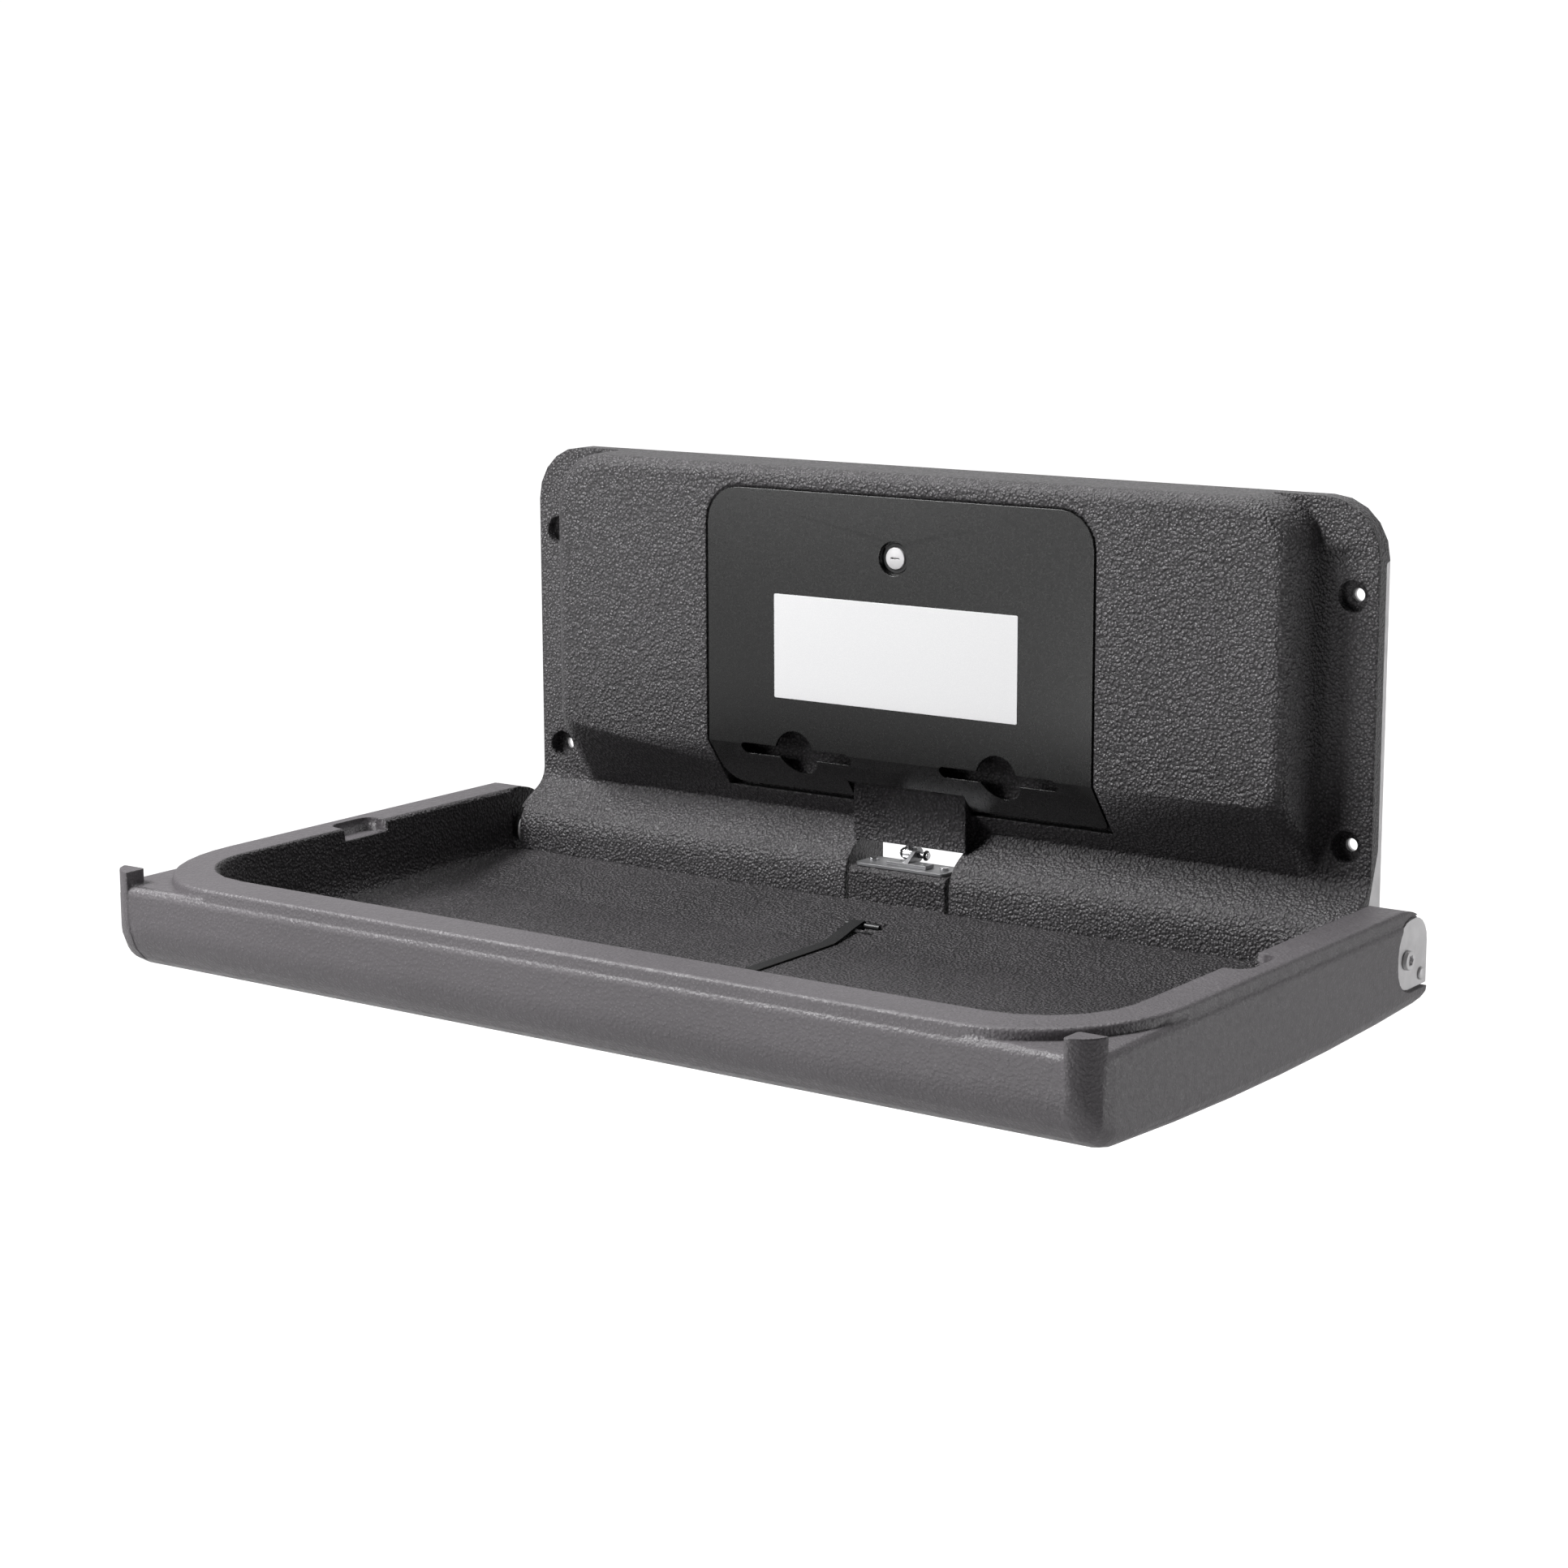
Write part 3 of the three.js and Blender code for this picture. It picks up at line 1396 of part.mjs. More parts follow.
const wallUnit = new THREE.Group();
const trayGroup = new THREE.Group();
const damperGroup = new THREE.Group();
const doorGroup = new THREE.Group();
const lockGroup = new THREE.Group();
station.add(wallUnit, trayGroup, damperGroup, doorGroup, lockGroup);
damperGroup.position.set(0, -lowerPinPlace.depth, lowerPinPlace.height);
damperGroup.rotation.x = damperTilt;
lockGroup.position.set(0, -box.depth + lock.cupDepth, lock.height);

add(wallUnit, 'wall_housing', wallHousing(), finish.moulding);
add(wallUnit, 'back_rail', backRail(), finish.steel);
add(wallUnit, 'lock_keeper', lockKeeper(), finish.steel);
add(trayGroup, 'tray_shell', trayShell(), finish.moulding);

for (const [side, name] of [[1, 'right'], [-1, 'left']]) {
  const handed = (geometry) => (side > 0 ? geometry : mirrored(geometry));
  const pivotPlace = (x) => [side * x, -pivot.depth, pivot.height];
  const headSeat = plateFace + seatGap;
  const nutSeat = rollEnd - roll.endWall - seatGap;
  const studPlace = [side * headSeat, -stopStud.depth, stopStud.height];
  const pinPlace = [side * doorHingeFace, -doorHingeDepth, doorHinge.height];
  const plateMiddle = (basePlate.front + basePlate.rear) / 2;
  const screwPlace = [side * plateScrew.offset, -plateMiddle, plateTop + seatGap];
  const cheekPlace = [-rod.eyeLength / 2, 0, 0];

  add(wallUnit, `${name}_hinge_bracket`, handed(hingeBracket()), finish.steel);
  add(wallUnit, `${name}_pivot_bolt`, handed(pivotBoltForm()), finish.bright, pivotPlace(headSeat));
  add(wallUnit, `${name}_pivot_nut`, handed(pivotNut()), finish.bright, pivotPlace(nutSeat));
  add(wallUnit, `${name}_damper_cheek`, handed(cheekForm()), finish.steel, cheekPlace);
  add(wallUnit, `${name}_door_hinge_pin`, handed(doorHingePin()), finish.bright, pinPlace);
  add(trayGroup, `${name}_hinge_plate`, handed(trayHingePlate()), finish.steel);
  add(trayGroup, `${name}_pivot_bushing`, handed(bushingForm()), finish.nylon, pivotPlace(bedHalfWidth));
  add(trayGroup, `${name}_stop_stud`, handed(stopStudForm()), finish.bright, studPlace);
  add(trayGroup, `${name}_base_plate_screw`, plateScrewForm(), finish.bright, screwPlace);
}

add(trayGroup, 'damper_base_plate', basePlateForm(), finish.steel);
add(trayGroup, 'damper_lug', lugForm(), finish.steel);
const lowerPinAt = [0, -lowerPinPlace.depth, lowerPinPlace.height];
const lowerPinForm = groovedPin(lowerPin.radius, lowerPin.left, lowerPin.right);
add(trayGroup, 'damper_lower_pin', lowerPinForm, finish.bright, lowerPinAt);
clipPlace(lowerPin.left, lowerPin.right).forEach((x, i) => {
  const place = [x, -lowerPinPlace.depth, lowerPinPlace.height];
  const name = ['lower_pin_clip_left', 'lower_pin_clip_right'][i];
  add(trayGroup, name, clipForm(lowerPin.radius), finish.black, place);
});
add(trayGroup, 'rear_anchor_bar', anchorBar(), finish.black, [0, -rearAnchor.depth, rearAnchor.height]);
add(trayGroup, 'front_anchor_bar', anchorBar(), finish.black, [0, -frontAnchor.depth, frontAnchor.height]);
const strapReach = buckle.prong + seatGap;
add(trayGroup, 'rear_strap', strapForm(
  rearAnchor,
  bed.rampDepth + strap.rearRun,
  buckleSplit - strapReach,
), finish.webbing);
add(trayGroup, 'front_strap', strapForm(
  frontAnchor,
  bedDepth - strap.frontRun,
  buckleSplit + buckle.prong + buckle.prongThickness + seatGap,
), finish.webbing);
add(trayGroup, 'buckle_tongue', buckleTongue(), finish.black);
add(trayGroup, 'buckle_socket', buckleSocket(), finish.black);

add(damperGroup, 'damper_rod', damperRod(), finish.bright);
add(damperGroup, 'damper_piston', damperPiston(), finish.black);
add(damperGroup, 'damper_cylinder', damperCylinder(), finish.black);
add(damperGroup, 'damper_rod_guide', rodGuide(), finish.nylon);
const upperPinAt = [-rod.eyeLength / 2, 0, damperLength];
const upperPinForm = groovedPin(upperPin.radius, upperPin.halfLength, upperPin.halfLength);
add(damperGroup, 'damper_upper_pin', upperPinForm, finish.bright, upperPinAt);
clipPlace(upperPin.halfLength, upperPin.halfLength).forEach((x, i) => {
  const place = [x - rod.eyeLength / 2, 0, damperLength];
  const name = ['upper_pin_clip_left', 'upper_pin_clip_right'][i];
  add(damperGroup, name, clipForm(upperPin.radius), finish.black, place);
});

add(doorGroup, 'liner_door', linerDoor(), finish.door);
const labelForm = brick(
  -label.halfWidth,
  label.halfWidth,
  -box.depth - label.thickness,
  -box.depth,
  label.foot,
  label.top,
);
add(doorGroup, 'door_label', labelForm, finish.label);
add(lockGroup, 'lock_body', lockBody(), finish.black);
add(lockGroup, 'lock_nut', lockNut(), finish.steel);
add(lockGroup, 'lock_plug', lockPlug(), finish.bright);
add(lockGroup, 'lock_cam', lockCam(), finish.steel);
add(lockGroup, 'cam_screw', camScrewForm(), finish.bright);

export default station;
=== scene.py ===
"""Baby changing station: surfaces, finishes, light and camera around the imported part.

Sizes of pieces are in millimetres. The studio, the coordinates of the materials and the finished
meshes are in metres. X runs to the right, Y into the wall and Z up. Each new surface is a grid of
points worked out with numpy.
"""

import json
import logging
from dataclasses import dataclass
from enum import Enum, StrEnum

import bmesh
import bpy
import numpy as np
from mathutils import Matrix, Vector

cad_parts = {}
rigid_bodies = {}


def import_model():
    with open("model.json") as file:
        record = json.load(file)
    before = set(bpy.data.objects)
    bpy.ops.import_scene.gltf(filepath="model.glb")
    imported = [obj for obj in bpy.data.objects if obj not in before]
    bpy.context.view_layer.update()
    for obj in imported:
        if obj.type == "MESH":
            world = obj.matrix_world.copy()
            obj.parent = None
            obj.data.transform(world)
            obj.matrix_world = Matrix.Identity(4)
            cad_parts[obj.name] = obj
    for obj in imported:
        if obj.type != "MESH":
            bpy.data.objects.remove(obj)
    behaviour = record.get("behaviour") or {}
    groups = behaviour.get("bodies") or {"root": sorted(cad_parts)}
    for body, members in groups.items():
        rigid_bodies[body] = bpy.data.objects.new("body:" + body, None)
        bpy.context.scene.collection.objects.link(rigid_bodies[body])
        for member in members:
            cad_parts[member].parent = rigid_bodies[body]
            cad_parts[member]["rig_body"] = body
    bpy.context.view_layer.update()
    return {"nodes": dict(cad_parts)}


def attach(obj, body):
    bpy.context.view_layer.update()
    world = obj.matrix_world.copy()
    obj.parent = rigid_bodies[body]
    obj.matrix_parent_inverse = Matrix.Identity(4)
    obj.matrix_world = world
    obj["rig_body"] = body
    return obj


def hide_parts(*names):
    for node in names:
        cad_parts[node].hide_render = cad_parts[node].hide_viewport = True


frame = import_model()
log = logging.getLogger("station")

Colour = tuple[float, float, float]
Place = tuple[float, float, float]
Span = tuple[float, float]
Socket = bpy.types.NodeSocket

MM = 0.001
TIP = 0.01
ROUND = 72
MOST_OF_NOISE = (0.3, 0.7)
MIDDLE_OF_NOISE = (0.35, 0.65)


class Side(Enum):
    """Which end of the station a handed piece is on, as the sign of its X."""

    LEFT = -1
    RIGHT = 1

    @property
    def word(self) -> str:
        """The side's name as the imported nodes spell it."""
        return self.name.lower()


class Body(StrEnum):
    """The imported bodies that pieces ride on."""

    WALL_UNIT = "wall_unit"
    TRAY = "tray"
    DAMPER_ROD = "damper_rod"
    DAMPER_CYLINDER = "damper_cylinder"
    LOCK_PLUG = "lock_plug"


class Grain(Enum):
    """Kinds of moulded relief: the size of a cell and its depth, in millimetres."""

    PEBBLE = (2.6, 1.6)
    PEEL = (1.6, 0.45)
    SATIN = (0.9, 0.02)


class Finish(StrEnum):
    """The finishes that a piece can have."""

    MOULDING = "moulding"
    TRAY = "tray"
    DOOR = "door"
    LABEL = "label"
    STEEL = "steel"
    ZINC = "zinc"
    BRIGHT = "bright"
    BLACK_METAL = "black_metal"
    BLACK_PLASTIC = "black_plastic"
    WEBBING = "webbing"
    NYLON = "nylon"


# Materials


class Recipe:
    """A node material that is put together one node at a time."""

    WOBBLE_SCALE = 0.7
    WOBBLE_REACH = 0.8
    CELL_SMOOTHNESS = 0.35
    CLOUD_DETAIL = 3.0
    FINE_DETAIL = 1.0
    EDGE_SAMPLES = 4

    def __init__(self, name: str) -> None:
        """Starts an empty material whose coordinates are the piece's own Object coordinates.

        Args:
            name: The material's name.
        """
        self.material = bpy.data.materials.new(name)
        self.material.use_nodes = True
        self.tree = self.material.node_tree
        self.shader = self.tree.nodes["Principled BSDF"]
        self.place = self.node("ShaderNodeTexCoord").outputs["Object"]

    def node(self, kind: str, **settings: object) -> bpy.types.Node:
        """Adds a node.

        Args:
            kind: Blender's type name of the node.
            **settings: Properties of the node to set.

        Returns:
            The new node.
        """
        made = self.tree.nodes.new(kind)
        for key, value in settings.items():
            setattr(made, key, value)
        return made

    def link(self, source: Socket, target: Socket) -> None:
        """Joins an output to an input."""
        self.tree.links.new(source, target)

    def drive(self, name: str, source: Socket) -> None:
        """Joins an output to one of the shader's inputs."""
        self.link(source, self.shader.inputs[name])

    def noise(self, scale: float, detail: float = 2.0) -> Socket:
        """Soft noise over the piece.

        Args:
            scale: Cells in a metre.
            detail: Octaves.

        Returns:
            The factor output.
        """
        made = self.node("ShaderNodeTexNoise")
        made.inputs["Scale"].default_value = scale
        made.inputs["Detail"].default_value = detail
        self.link(self.place, made.inputs["Vector"])
        return made.outputs["Fac"]

    def cells(self, scale: float) -> Socket:
        """Rounded cells with valleys between them, their places wobbled by noise.

        Args:
            scale: Cells in a metre.

        Returns:
            The distance output: 0 in a cell's middle and largest in its valleys.
        """
        wobble = self.node("ShaderNodeTexNoise")
        wobble.inputs["Scale"].default_value = scale * self.WOBBLE_SCALE
        self.link(self.place, wobble.inputs["Vector"])
        shift = self.node("ShaderNodeVectorMath", operation="MULTIPLY_ADD")
        shift.inputs[1].default_value = (self.WOBBLE_REACH / scale,) * 3
        self.link(wobble.outputs["Color"], shift.inputs[0])
        self.link(self.place, shift.inputs[2])
        made = self.node("ShaderNodeTexVoronoi", feature="SMOOTH_F1")
        made.inputs["Scale"].default_value = scale
        made.inputs["Smoothness"].default_value = self.CELL_SMOOTHNESS
        self.link(shift.outputs["Vector"], made.inputs["Vector"])
        return made.outputs["Distance"]

    def spread(
        self, value: Socket, low: float, high: float, source: Span = (0.0, 1.0)
    ) -> Socket:
        """Carries a value from one span to another.

        Args:
            value: The value.
            low: What the span's start becomes.
            high: What the span's end becomes.
            source: The span.

        Returns:
            The carried value.
        """
        made = self.node("ShaderNodeMapRange")
        made.inputs["From Min"].default_value = source[0]
        made.inputs["From Max"].default_value = source[1]
        made.inputs["To Min"].default_value = low
        made.inputs["To Max"].default_value = high
        self.link(value, made.inputs["Value"])
        return made.outputs["Result"]

    def math(self, operation: str, *values: Socket | float) -> Socket:
        """One sum of up to three values.

        Args:
            operation: Blender's name of it.
            *values: Values and outputs.

        Returns:
            The result.
        """
        made = self.node("ShaderNodeMath", operation=operation)
        for socket, value in zip(made.inputs, values):
            if isinstance(value, (int, float)):
                socket.default_value = value
            else:
                self.link(value, socket)
        return made.outputs["Value"]

    def blend(self, factor: Socket, a: Colour, b: Colour) -> Socket:
        """A colour between two others.

        Args:
            factor: 0 for the first, 1 for the second.
            a: First colour.
            b: Second colour.

        Returns:
            The colour.
        """
        made = self.node("ShaderNodeMix", data_type="RGBA")
        self.link(factor, made.inputs["Factor"])
        made.inputs["A"].default_value = (*a, 1)
        made.inputs["B"].default_value = (*b, 1)
        return made.outputs["Result"]

    def soft_edges(self, radius: float) -> Socket:
        """Normals that turn smoothly over an edge.

        Args:
            radius: The edge's radius in millimetres.

        Returns:
            The normal.
        """
        made = self.node("ShaderNodeBevel", samples=self.EDGE_SAMPLES)
        made.inputs["Radius"].default_value = radius * MM
        return made.outputs["Normal"]

    def relief(self, height: Socket, depth: float, normal: Socket | None = None) -> Socket:
        """Normals of a fine relief.

        Args:
            height: The relief's height.
            depth: Its depth in millimetres.
            normal: Normals that it lies on.

        Returns:
            The normal.
        """
        made = self.node("ShaderNodeBump")
        made.inputs["Strength"].default_value = 1.0
        made.inputs["Distance"].default_value = depth * MM
        self.link(height, made.inputs["Height"])
        if normal is not None:
            self.link(normal, made.inputs["Normal"])
        return made.outputs["Normal"]


@dataclass(frozen=True)
class BedPlan:
    """The tray's bed in metres: a rounded rectangle in plan, over the moulding's underside.

    A span holds where the bed ends and where the outer skin begins.
    """

    corner: Span = (0.3605, 0.411)
    radius: Span = (0.0785, 0.0805)
    foot: Span = (-0.213, -0.216)

    def outside(self, recipe: Recipe) -> Socket:
        """Tells the tray's rim and outer skin, whose relief is finer, from its bed, which is
        painted darker as shade.

        A point is outside the bed where the length of its reach past the middle points of the
        corners is more than their radius.

        Args:
            recipe: The material.

        Returns:
            0 in the bed, 1 on the rim and outside.
        """
        split = recipe.node("ShaderNodeSeparateXYZ")
        recipe.link(recipe.place, split.inputs[0])
        past = recipe.node("ShaderNodeCombineXYZ")
        across = recipe.math("ABSOLUTE", split.outputs["X"])
        along = recipe.math("MULTIPLY", split.outputs["Y"], -1.0)
        for socket, value, middle in zip(past.inputs, (across, along), self.corner):
            reach = recipe.math("MAXIMUM", recipe.math("SUBTRACT", value, middle), 0.0)
            recipe.link(reach, socket)
        length = recipe.node("ShaderNodeVectorMath", operation="LENGTH")
        recipe.link(past.outputs[0], length.inputs[0])
        beside = recipe.spread(length.outputs["Value"], 0.0, 1.0, self.radius)
        under = recipe.spread(split.outputs["Z"], 1.0, 0.0, self.foot[::-1])
        return recipe.math("MAXIMUM", beside, under)


@dataclass(frozen=True)
class Plastic:
    """A moulded plastic with its relief, its mottling, its soft edges and painted light and
    shade.

    Its grain cells are painted lighter on their crowns and darker in their valleys, a painted
    highlight and painted shade of the relief; on a tray the bed inside the rim is painted darker
    as shade.

    The scales count cells in a metre, those of the fine noise and of the roughness for a grain of
    one millimetre.
    """

    name: str
    dark: Colour
    light: Colour
    roughness: Span
    grain: Grain
    edge: float = 1.2
    specular: float = 0.5
    outer: Grain | None = None
    fine_scale: float = 2600.0
    fine_share: float = 0.35
    # Painted light and shade: the spans and shares below paint grain cells lighter on their
    # crowns and darker in their valleys, and a tray's bed darker.
    crown: Span = (0.14, 0.48)
    bed_tone: float = 0.55
    outer_tone: float = 0.6
    tone_share: float = 0.8
    cloud_scale: float = 9.0
    cloud: Span = (0.06, 0.14)
    rough_scale: float = 420.0

    def make(self) -> bpy.types.Material:
        """Builds the material.

        Returns:
            The material.
        """
        recipe = Recipe(self.name)
        size, depth = self.grain.value
        cells = recipe.cells(1 / MM / size)
        fine = recipe.noise(self.fine_scale / size, recipe.FINE_DETAIL)
        height = recipe.math("MULTIPLY_ADD", cells, -1.0, 1.0)
        height = recipe.math("ADD", height, recipe.math("MULTIPLY", fine, self.fine_share))
        # Painted highlight and shade: each grain cell lighter on its crown and darker in its
        # valley.
        painted_light = recipe.spread(cells, 1.0, 0.0, self.crown)
        if self.outer:
            skin = BedPlan().outside(recipe)
            # Painted shade: the bed inside the rim is darkened.
            painted_light = recipe.math("MULTIPLY", painted_light, recipe.spread(skin, self.bed_tone, 1.0))
            share = self.outer.value[1] / depth
            height = recipe.math("MULTIPLY", height, recipe.spread(skin, 1.0, share))
            # On the rim and outer skin the painted valley shade is held back to a lighter least
            # value.
            painted_light = recipe.math("MAXIMUM", painted_light, recipe.spread(skin, 0.0, self.outer_tone))
        cloud = recipe.noise(self.cloud_scale, recipe.CLOUD_DETAIL)
        cloud = recipe.spread(cloud, *self.cloud, MOST_OF_NOISE)
        factor = recipe.math("ADD", recipe.math("MULTIPLY", painted_light, self.tone_share), cloud)
        recipe.drive("Base Color", recipe.blend(factor, self.dark, self.light))
        speckle = recipe.noise(self.rough_scale / size)
        recipe.drive("Roughness", recipe.spread(speckle, *self.roughness, MIDDLE_OF_NOISE))
        recipe.shader.inputs["Specular IOR Level"].default_value = self.specular
        recipe.drive("Normal", recipe.relief(height, depth, recipe.soft_edges(self.edge)))
        return recipe.material


@dataclass(frozen=True)
class Metal:
    """A metal with a faint rolled or turned texture and soft edges."""

    name: str
    colour: Colour
    roughness: Span
    metallic: float = 1.0
    edge: float = 0.5
    shade: float = 0.86
    cloud_scale: float = 60.0
    speckle_scale: float = 1800.0
    depth: float = 0.02

    def make(self) -> bpy.types.Material:
        """Builds the material.

        Returns:
            The material.
        """
        recipe = Recipe(self.name)
        shade = tuple(c * self.shade for c in self.colour)
        cloud = recipe.noise(self.cloud_scale, recipe.CLOUD_DETAIL)
        cloud = recipe.spread(cloud, 0.0, 1.0, MIDDLE_OF_NOISE)
        recipe.drive("Base Color", recipe.blend(cloud, shade, self.colour))
        speckle = recipe.noise(self.speckle_scale)
        recipe.drive("Roughness", recipe.spread(speckle, *self.roughness, MOST_OF_NOISE))
        recipe.shader.inputs["Metallic"].default_value = self.metallic
        edges = recipe.soft_edges(self.edge)
        recipe.drive("Normal", recipe.relief(speckle, self.depth, edges))
        return recipe.material


@dataclass(frozen=True)
class Webbing:
    """Woven webbing: ribs across the strap and threads along it."""

    name: str
    colour: Colour
    roughness: Span = (0.6, 0.85)
    ribs: float = 420.0
    threads: float = 300.0
    distortion: float = 0.6
    shade: float = 0.45
    rough_scale: float = 900.0
    sheen: float = 0.05
    depth: float = 0.25

    def make(self) -> bpy.types.Material:
        """Builds the material.

        Returns:
            The material.
        """
        recipe = Recipe(self.name)
        heights = []
        for axis, scale in (("X", self.ribs), ("Y", self.threads)):
            wave = recipe.node("ShaderNodeTexWave", bands_direction=axis)
            wave.inputs["Scale"].default_value = scale
            wave.inputs["Distortion"].default_value = self.distortion
            recipe.link(recipe.place, wave.inputs["Vector"])
            heights.append(wave.outputs["Fac"])
        weave = recipe.math("MULTIPLY", *heights)
        shade = tuple(c * self.shade for c in self.colour)
        recipe.drive("Base Color", recipe.blend(weave, shade, self.colour))
        speckle = recipe.noise(self.rough_scale)
        recipe.drive("Roughness", recipe.spread(speckle, *self.roughness, MOST_OF_NOISE))
        recipe.shader.inputs["Sheen Weight"].default_value = self.sheen
        recipe.drive("Normal", recipe.relief(weave, self.depth))
        return recipe.material


FINISHES = {
    Finish.MOULDING: Plastic(
        "grained_moulding", (0.044, 0.042, 0.044), (0.184, 0.175, 0.185), (0.34, 0.44),
        Grain.PEBBLE, edge=4.0,
    ),
    Finish.TRAY: Plastic(
        "grained_tray", (0.018, 0.017, 0.018), (0.200, 0.186, 0.199), (0.40, 0.52),
        Grain.PEBBLE, edge=2.4, outer=Grain.PEEL,
    ),
    Finish.DOOR: Plastic(
        "satin_door", (0.008, 0.008, 0.008), (0.012, 0.012, 0.012), (0.23, 0.28),
        Grain.SATIN, edge=0.8, specular=0.8,
    ),
    Finish.LABEL: Plastic(
        "blank_label", (0.86, 0.86, 0.87), (0.95, 0.95, 0.95), (0.40, 0.50),
        Grain.SATIN, edge=0.3,
    ),
    Finish.STEEL: Metal("coated_steel", (0.78, 0.77, 0.78), (0.42, 0.55), metallic=0.3),
    # Painted shade: steel darkened for the base plate and lug, which sit in shade.
    Finish.ZINC: Metal("zinc_plate", (0.36, 0.36, 0.37), (0.32, 0.45), metallic=0.7),
    Finish.BRIGHT: Metal("bright_steel", (0.78, 0.78, 0.79), (0.16, 0.28)),
    Finish.BLACK_METAL: Metal(
        "black_steel", (0.030, 0.030, 0.031), (0.30, 0.42), metallic=0.2,
    ),
    Finish.BLACK_PLASTIC: Plastic(
        "black_plastic", (0.012, 0.012, 0.013), (0.026, 0.026, 0.028), (0.35, 0.5),
        Grain.SATIN, edge=0.5,
    ),
    Finish.WEBBING: Webbing("black_webbing", (0.012, 0.012, 0.013)),
    Finish.NYLON: Plastic(
        "grey_nylon", (0.030, 0.030, 0.031), (0.055, 0.055, 0.056), (0.45, 0.6),
        Grain.SATIN, edge=0.4,
    ),
}


class Workshop:
    """Makes pieces, gives them their finishes and seats them on their bodies."""

    MEET = 0.003
    DEGENERATE = 0.002
    COPLANAR = 0.6
    AREA_WEIGHT = 80

    def __init__(self) -> None:
        """Makes each finish once."""
        self.materials = {name: finish.make() for name, finish in FINISHES.items()}

    def dress(self, node: str, finish: Finish) -> None:
        """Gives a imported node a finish.

        Args:
            node: The node's name.
            finish: The finish.
        """
        mesh = frame["nodes"][node].data
        mesh.materials.clear()
        mesh.materials.append(self.materials[finish])
        log.info("node %s in %s", node, finish)

    def piece(
        self,
        name: str,
        points: np.ndarray,
        faces: list[list[int]],
        finish: Finish,
        body: Body,
        replaces: tuple[str, ...] = (),
        smooth: float = 40.0,
    ) -> bpy.types.Object:
        """Makes a piece from points in millimetres and seats it.

        Args:
            name: The piece's name.
            points: Rows of X, Y and Z.
            faces: Lists of point numbers.
            finish: The finish.
            body: The body it rides on.
            replaces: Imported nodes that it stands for.
            smooth: Edges turned less than this many degrees are shaded smooth.

        Returns:
            The piece.
        """
        mesh = bpy.data.meshes.new(name)
        mesh.from_pydata((points * MM).tolist(), [], faces)
        self.weld(mesh)
        return self.seat(name, mesh, finish, body, replaces, smooth)

    def weld(self, mesh: bpy.types.Mesh, flat: float = 0.0) -> None:
        """Merges points that meet, joins flat facets and turns the faces outwards.

        Args:
            mesh: The mesh.
            flat: Facets that turn less than this many degrees become one.
        """
        work = bmesh.new()
        work.from_mesh(mesh)
        bmesh.ops.remove_doubles(work, verts=work.verts, dist=self.MEET * MM)
        bmesh.ops.dissolve_degenerate(work, edges=work.edges, dist=self.DEGENERATE * MM)
        if flat:
            bmesh.ops.dissolve_limit(
                work, angle_limit=np.radians(flat), verts=work.verts, edges=work.edges
            )
        bmesh.ops.recalc_face_normals(work, faces=work.faces)
        work.to_mesh(mesh)
        work.free()

    def seat(
        self,
        name: str,
        mesh: bpy.types.Mesh,
        finish: Finish,
        body: Body,
        replaces: tuple[str, ...],
        smooth: float,
    ) -> bpy.types.Object:
        """Links a mesh as a piece, shades it and seats it on its body.

        Args:
            name: The piece's name.
            mesh: Its mesh, in place.
            finish: The finish.
            body: The body it rides on.
            replaces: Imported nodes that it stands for.
            smooth: Edges turned less than this many degrees are shaded smooth.

        Returns:
            The piece.
        """
        mesh.shade_smooth()
        mesh.set_sharp_from_angle(angle=np.radians(smooth))
        mesh.materials.append(self.materials[finish])
        made = bpy.data.objects.new(name, mesh)
        bpy.context.scene.collection.objects.link(made)
        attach(made, body)
        if replaces:
            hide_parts(*replaces)
        log.info("piece %s on %s, %d faces", name, body, len(mesh.polygons))
        return made

    def cast(
        self, node: str, name: str, finish: Finish, smooth: float = 32.0
    ) -> bpy.types.Object:
        """A smooth-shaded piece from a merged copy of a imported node.

        Args:
            node: The node that it copies and stands for.
            name: The piece's name.
            finish: The finish.
            smooth: Edges turned less than this many degrees are shaded smooth.

        Returns:
            The piece.
        """
        source = frame["nodes"][node]
        mesh = source.data.copy()
        mesh.name = name
        mesh.materials.clear()
        self.weld(mesh, flat=self.COPLANAR)
        made = self.seat(name, mesh, finish, Body(source["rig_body"]), (node,), smooth)
        weighted = made.modifiers.new("facets", "WEIGHTED_NORMAL")
        weighted.keep_sharp = True
        weighted.weight = self.AREA_WEIGHT
        return made


# Surfaces


def circle(sides: int) -> np.ndarray:
    """Angles of points spaced evenly over a full turn."""
    return np.linspace(0, 2 * np.pi, sides, endpoint=False)


def broad(wave: np.ndarray, power: float) -> np.ndarray:
    """A sine or cosine with broader crests, for outlines between a circle and a square."""
    return np.sign(wave) * np.abs(wave) ** power


def grid_faces(rows: int, columns: int, wrap: bool = True) -> list[list[int]]:
    """Quads between neighbouring rows and columns of a grid of points.

    Args:
        rows: Rows of points.
        columns: Points in a row.
        wrap: Whether each row closes on itself.

    Returns:
        Point numbers, four to a face.
    """
    reach = columns if wrap else columns - 1
    row, column = np.meshgrid(np.arange(rows - 1), np.arange(reach), indexing="ij")
    a = (row * columns + column).ravel()
    b = (row * columns + (column + 1) % columns).ravel()
    return np.stack([a, b, b + columns, a + columns], 1).tolist()


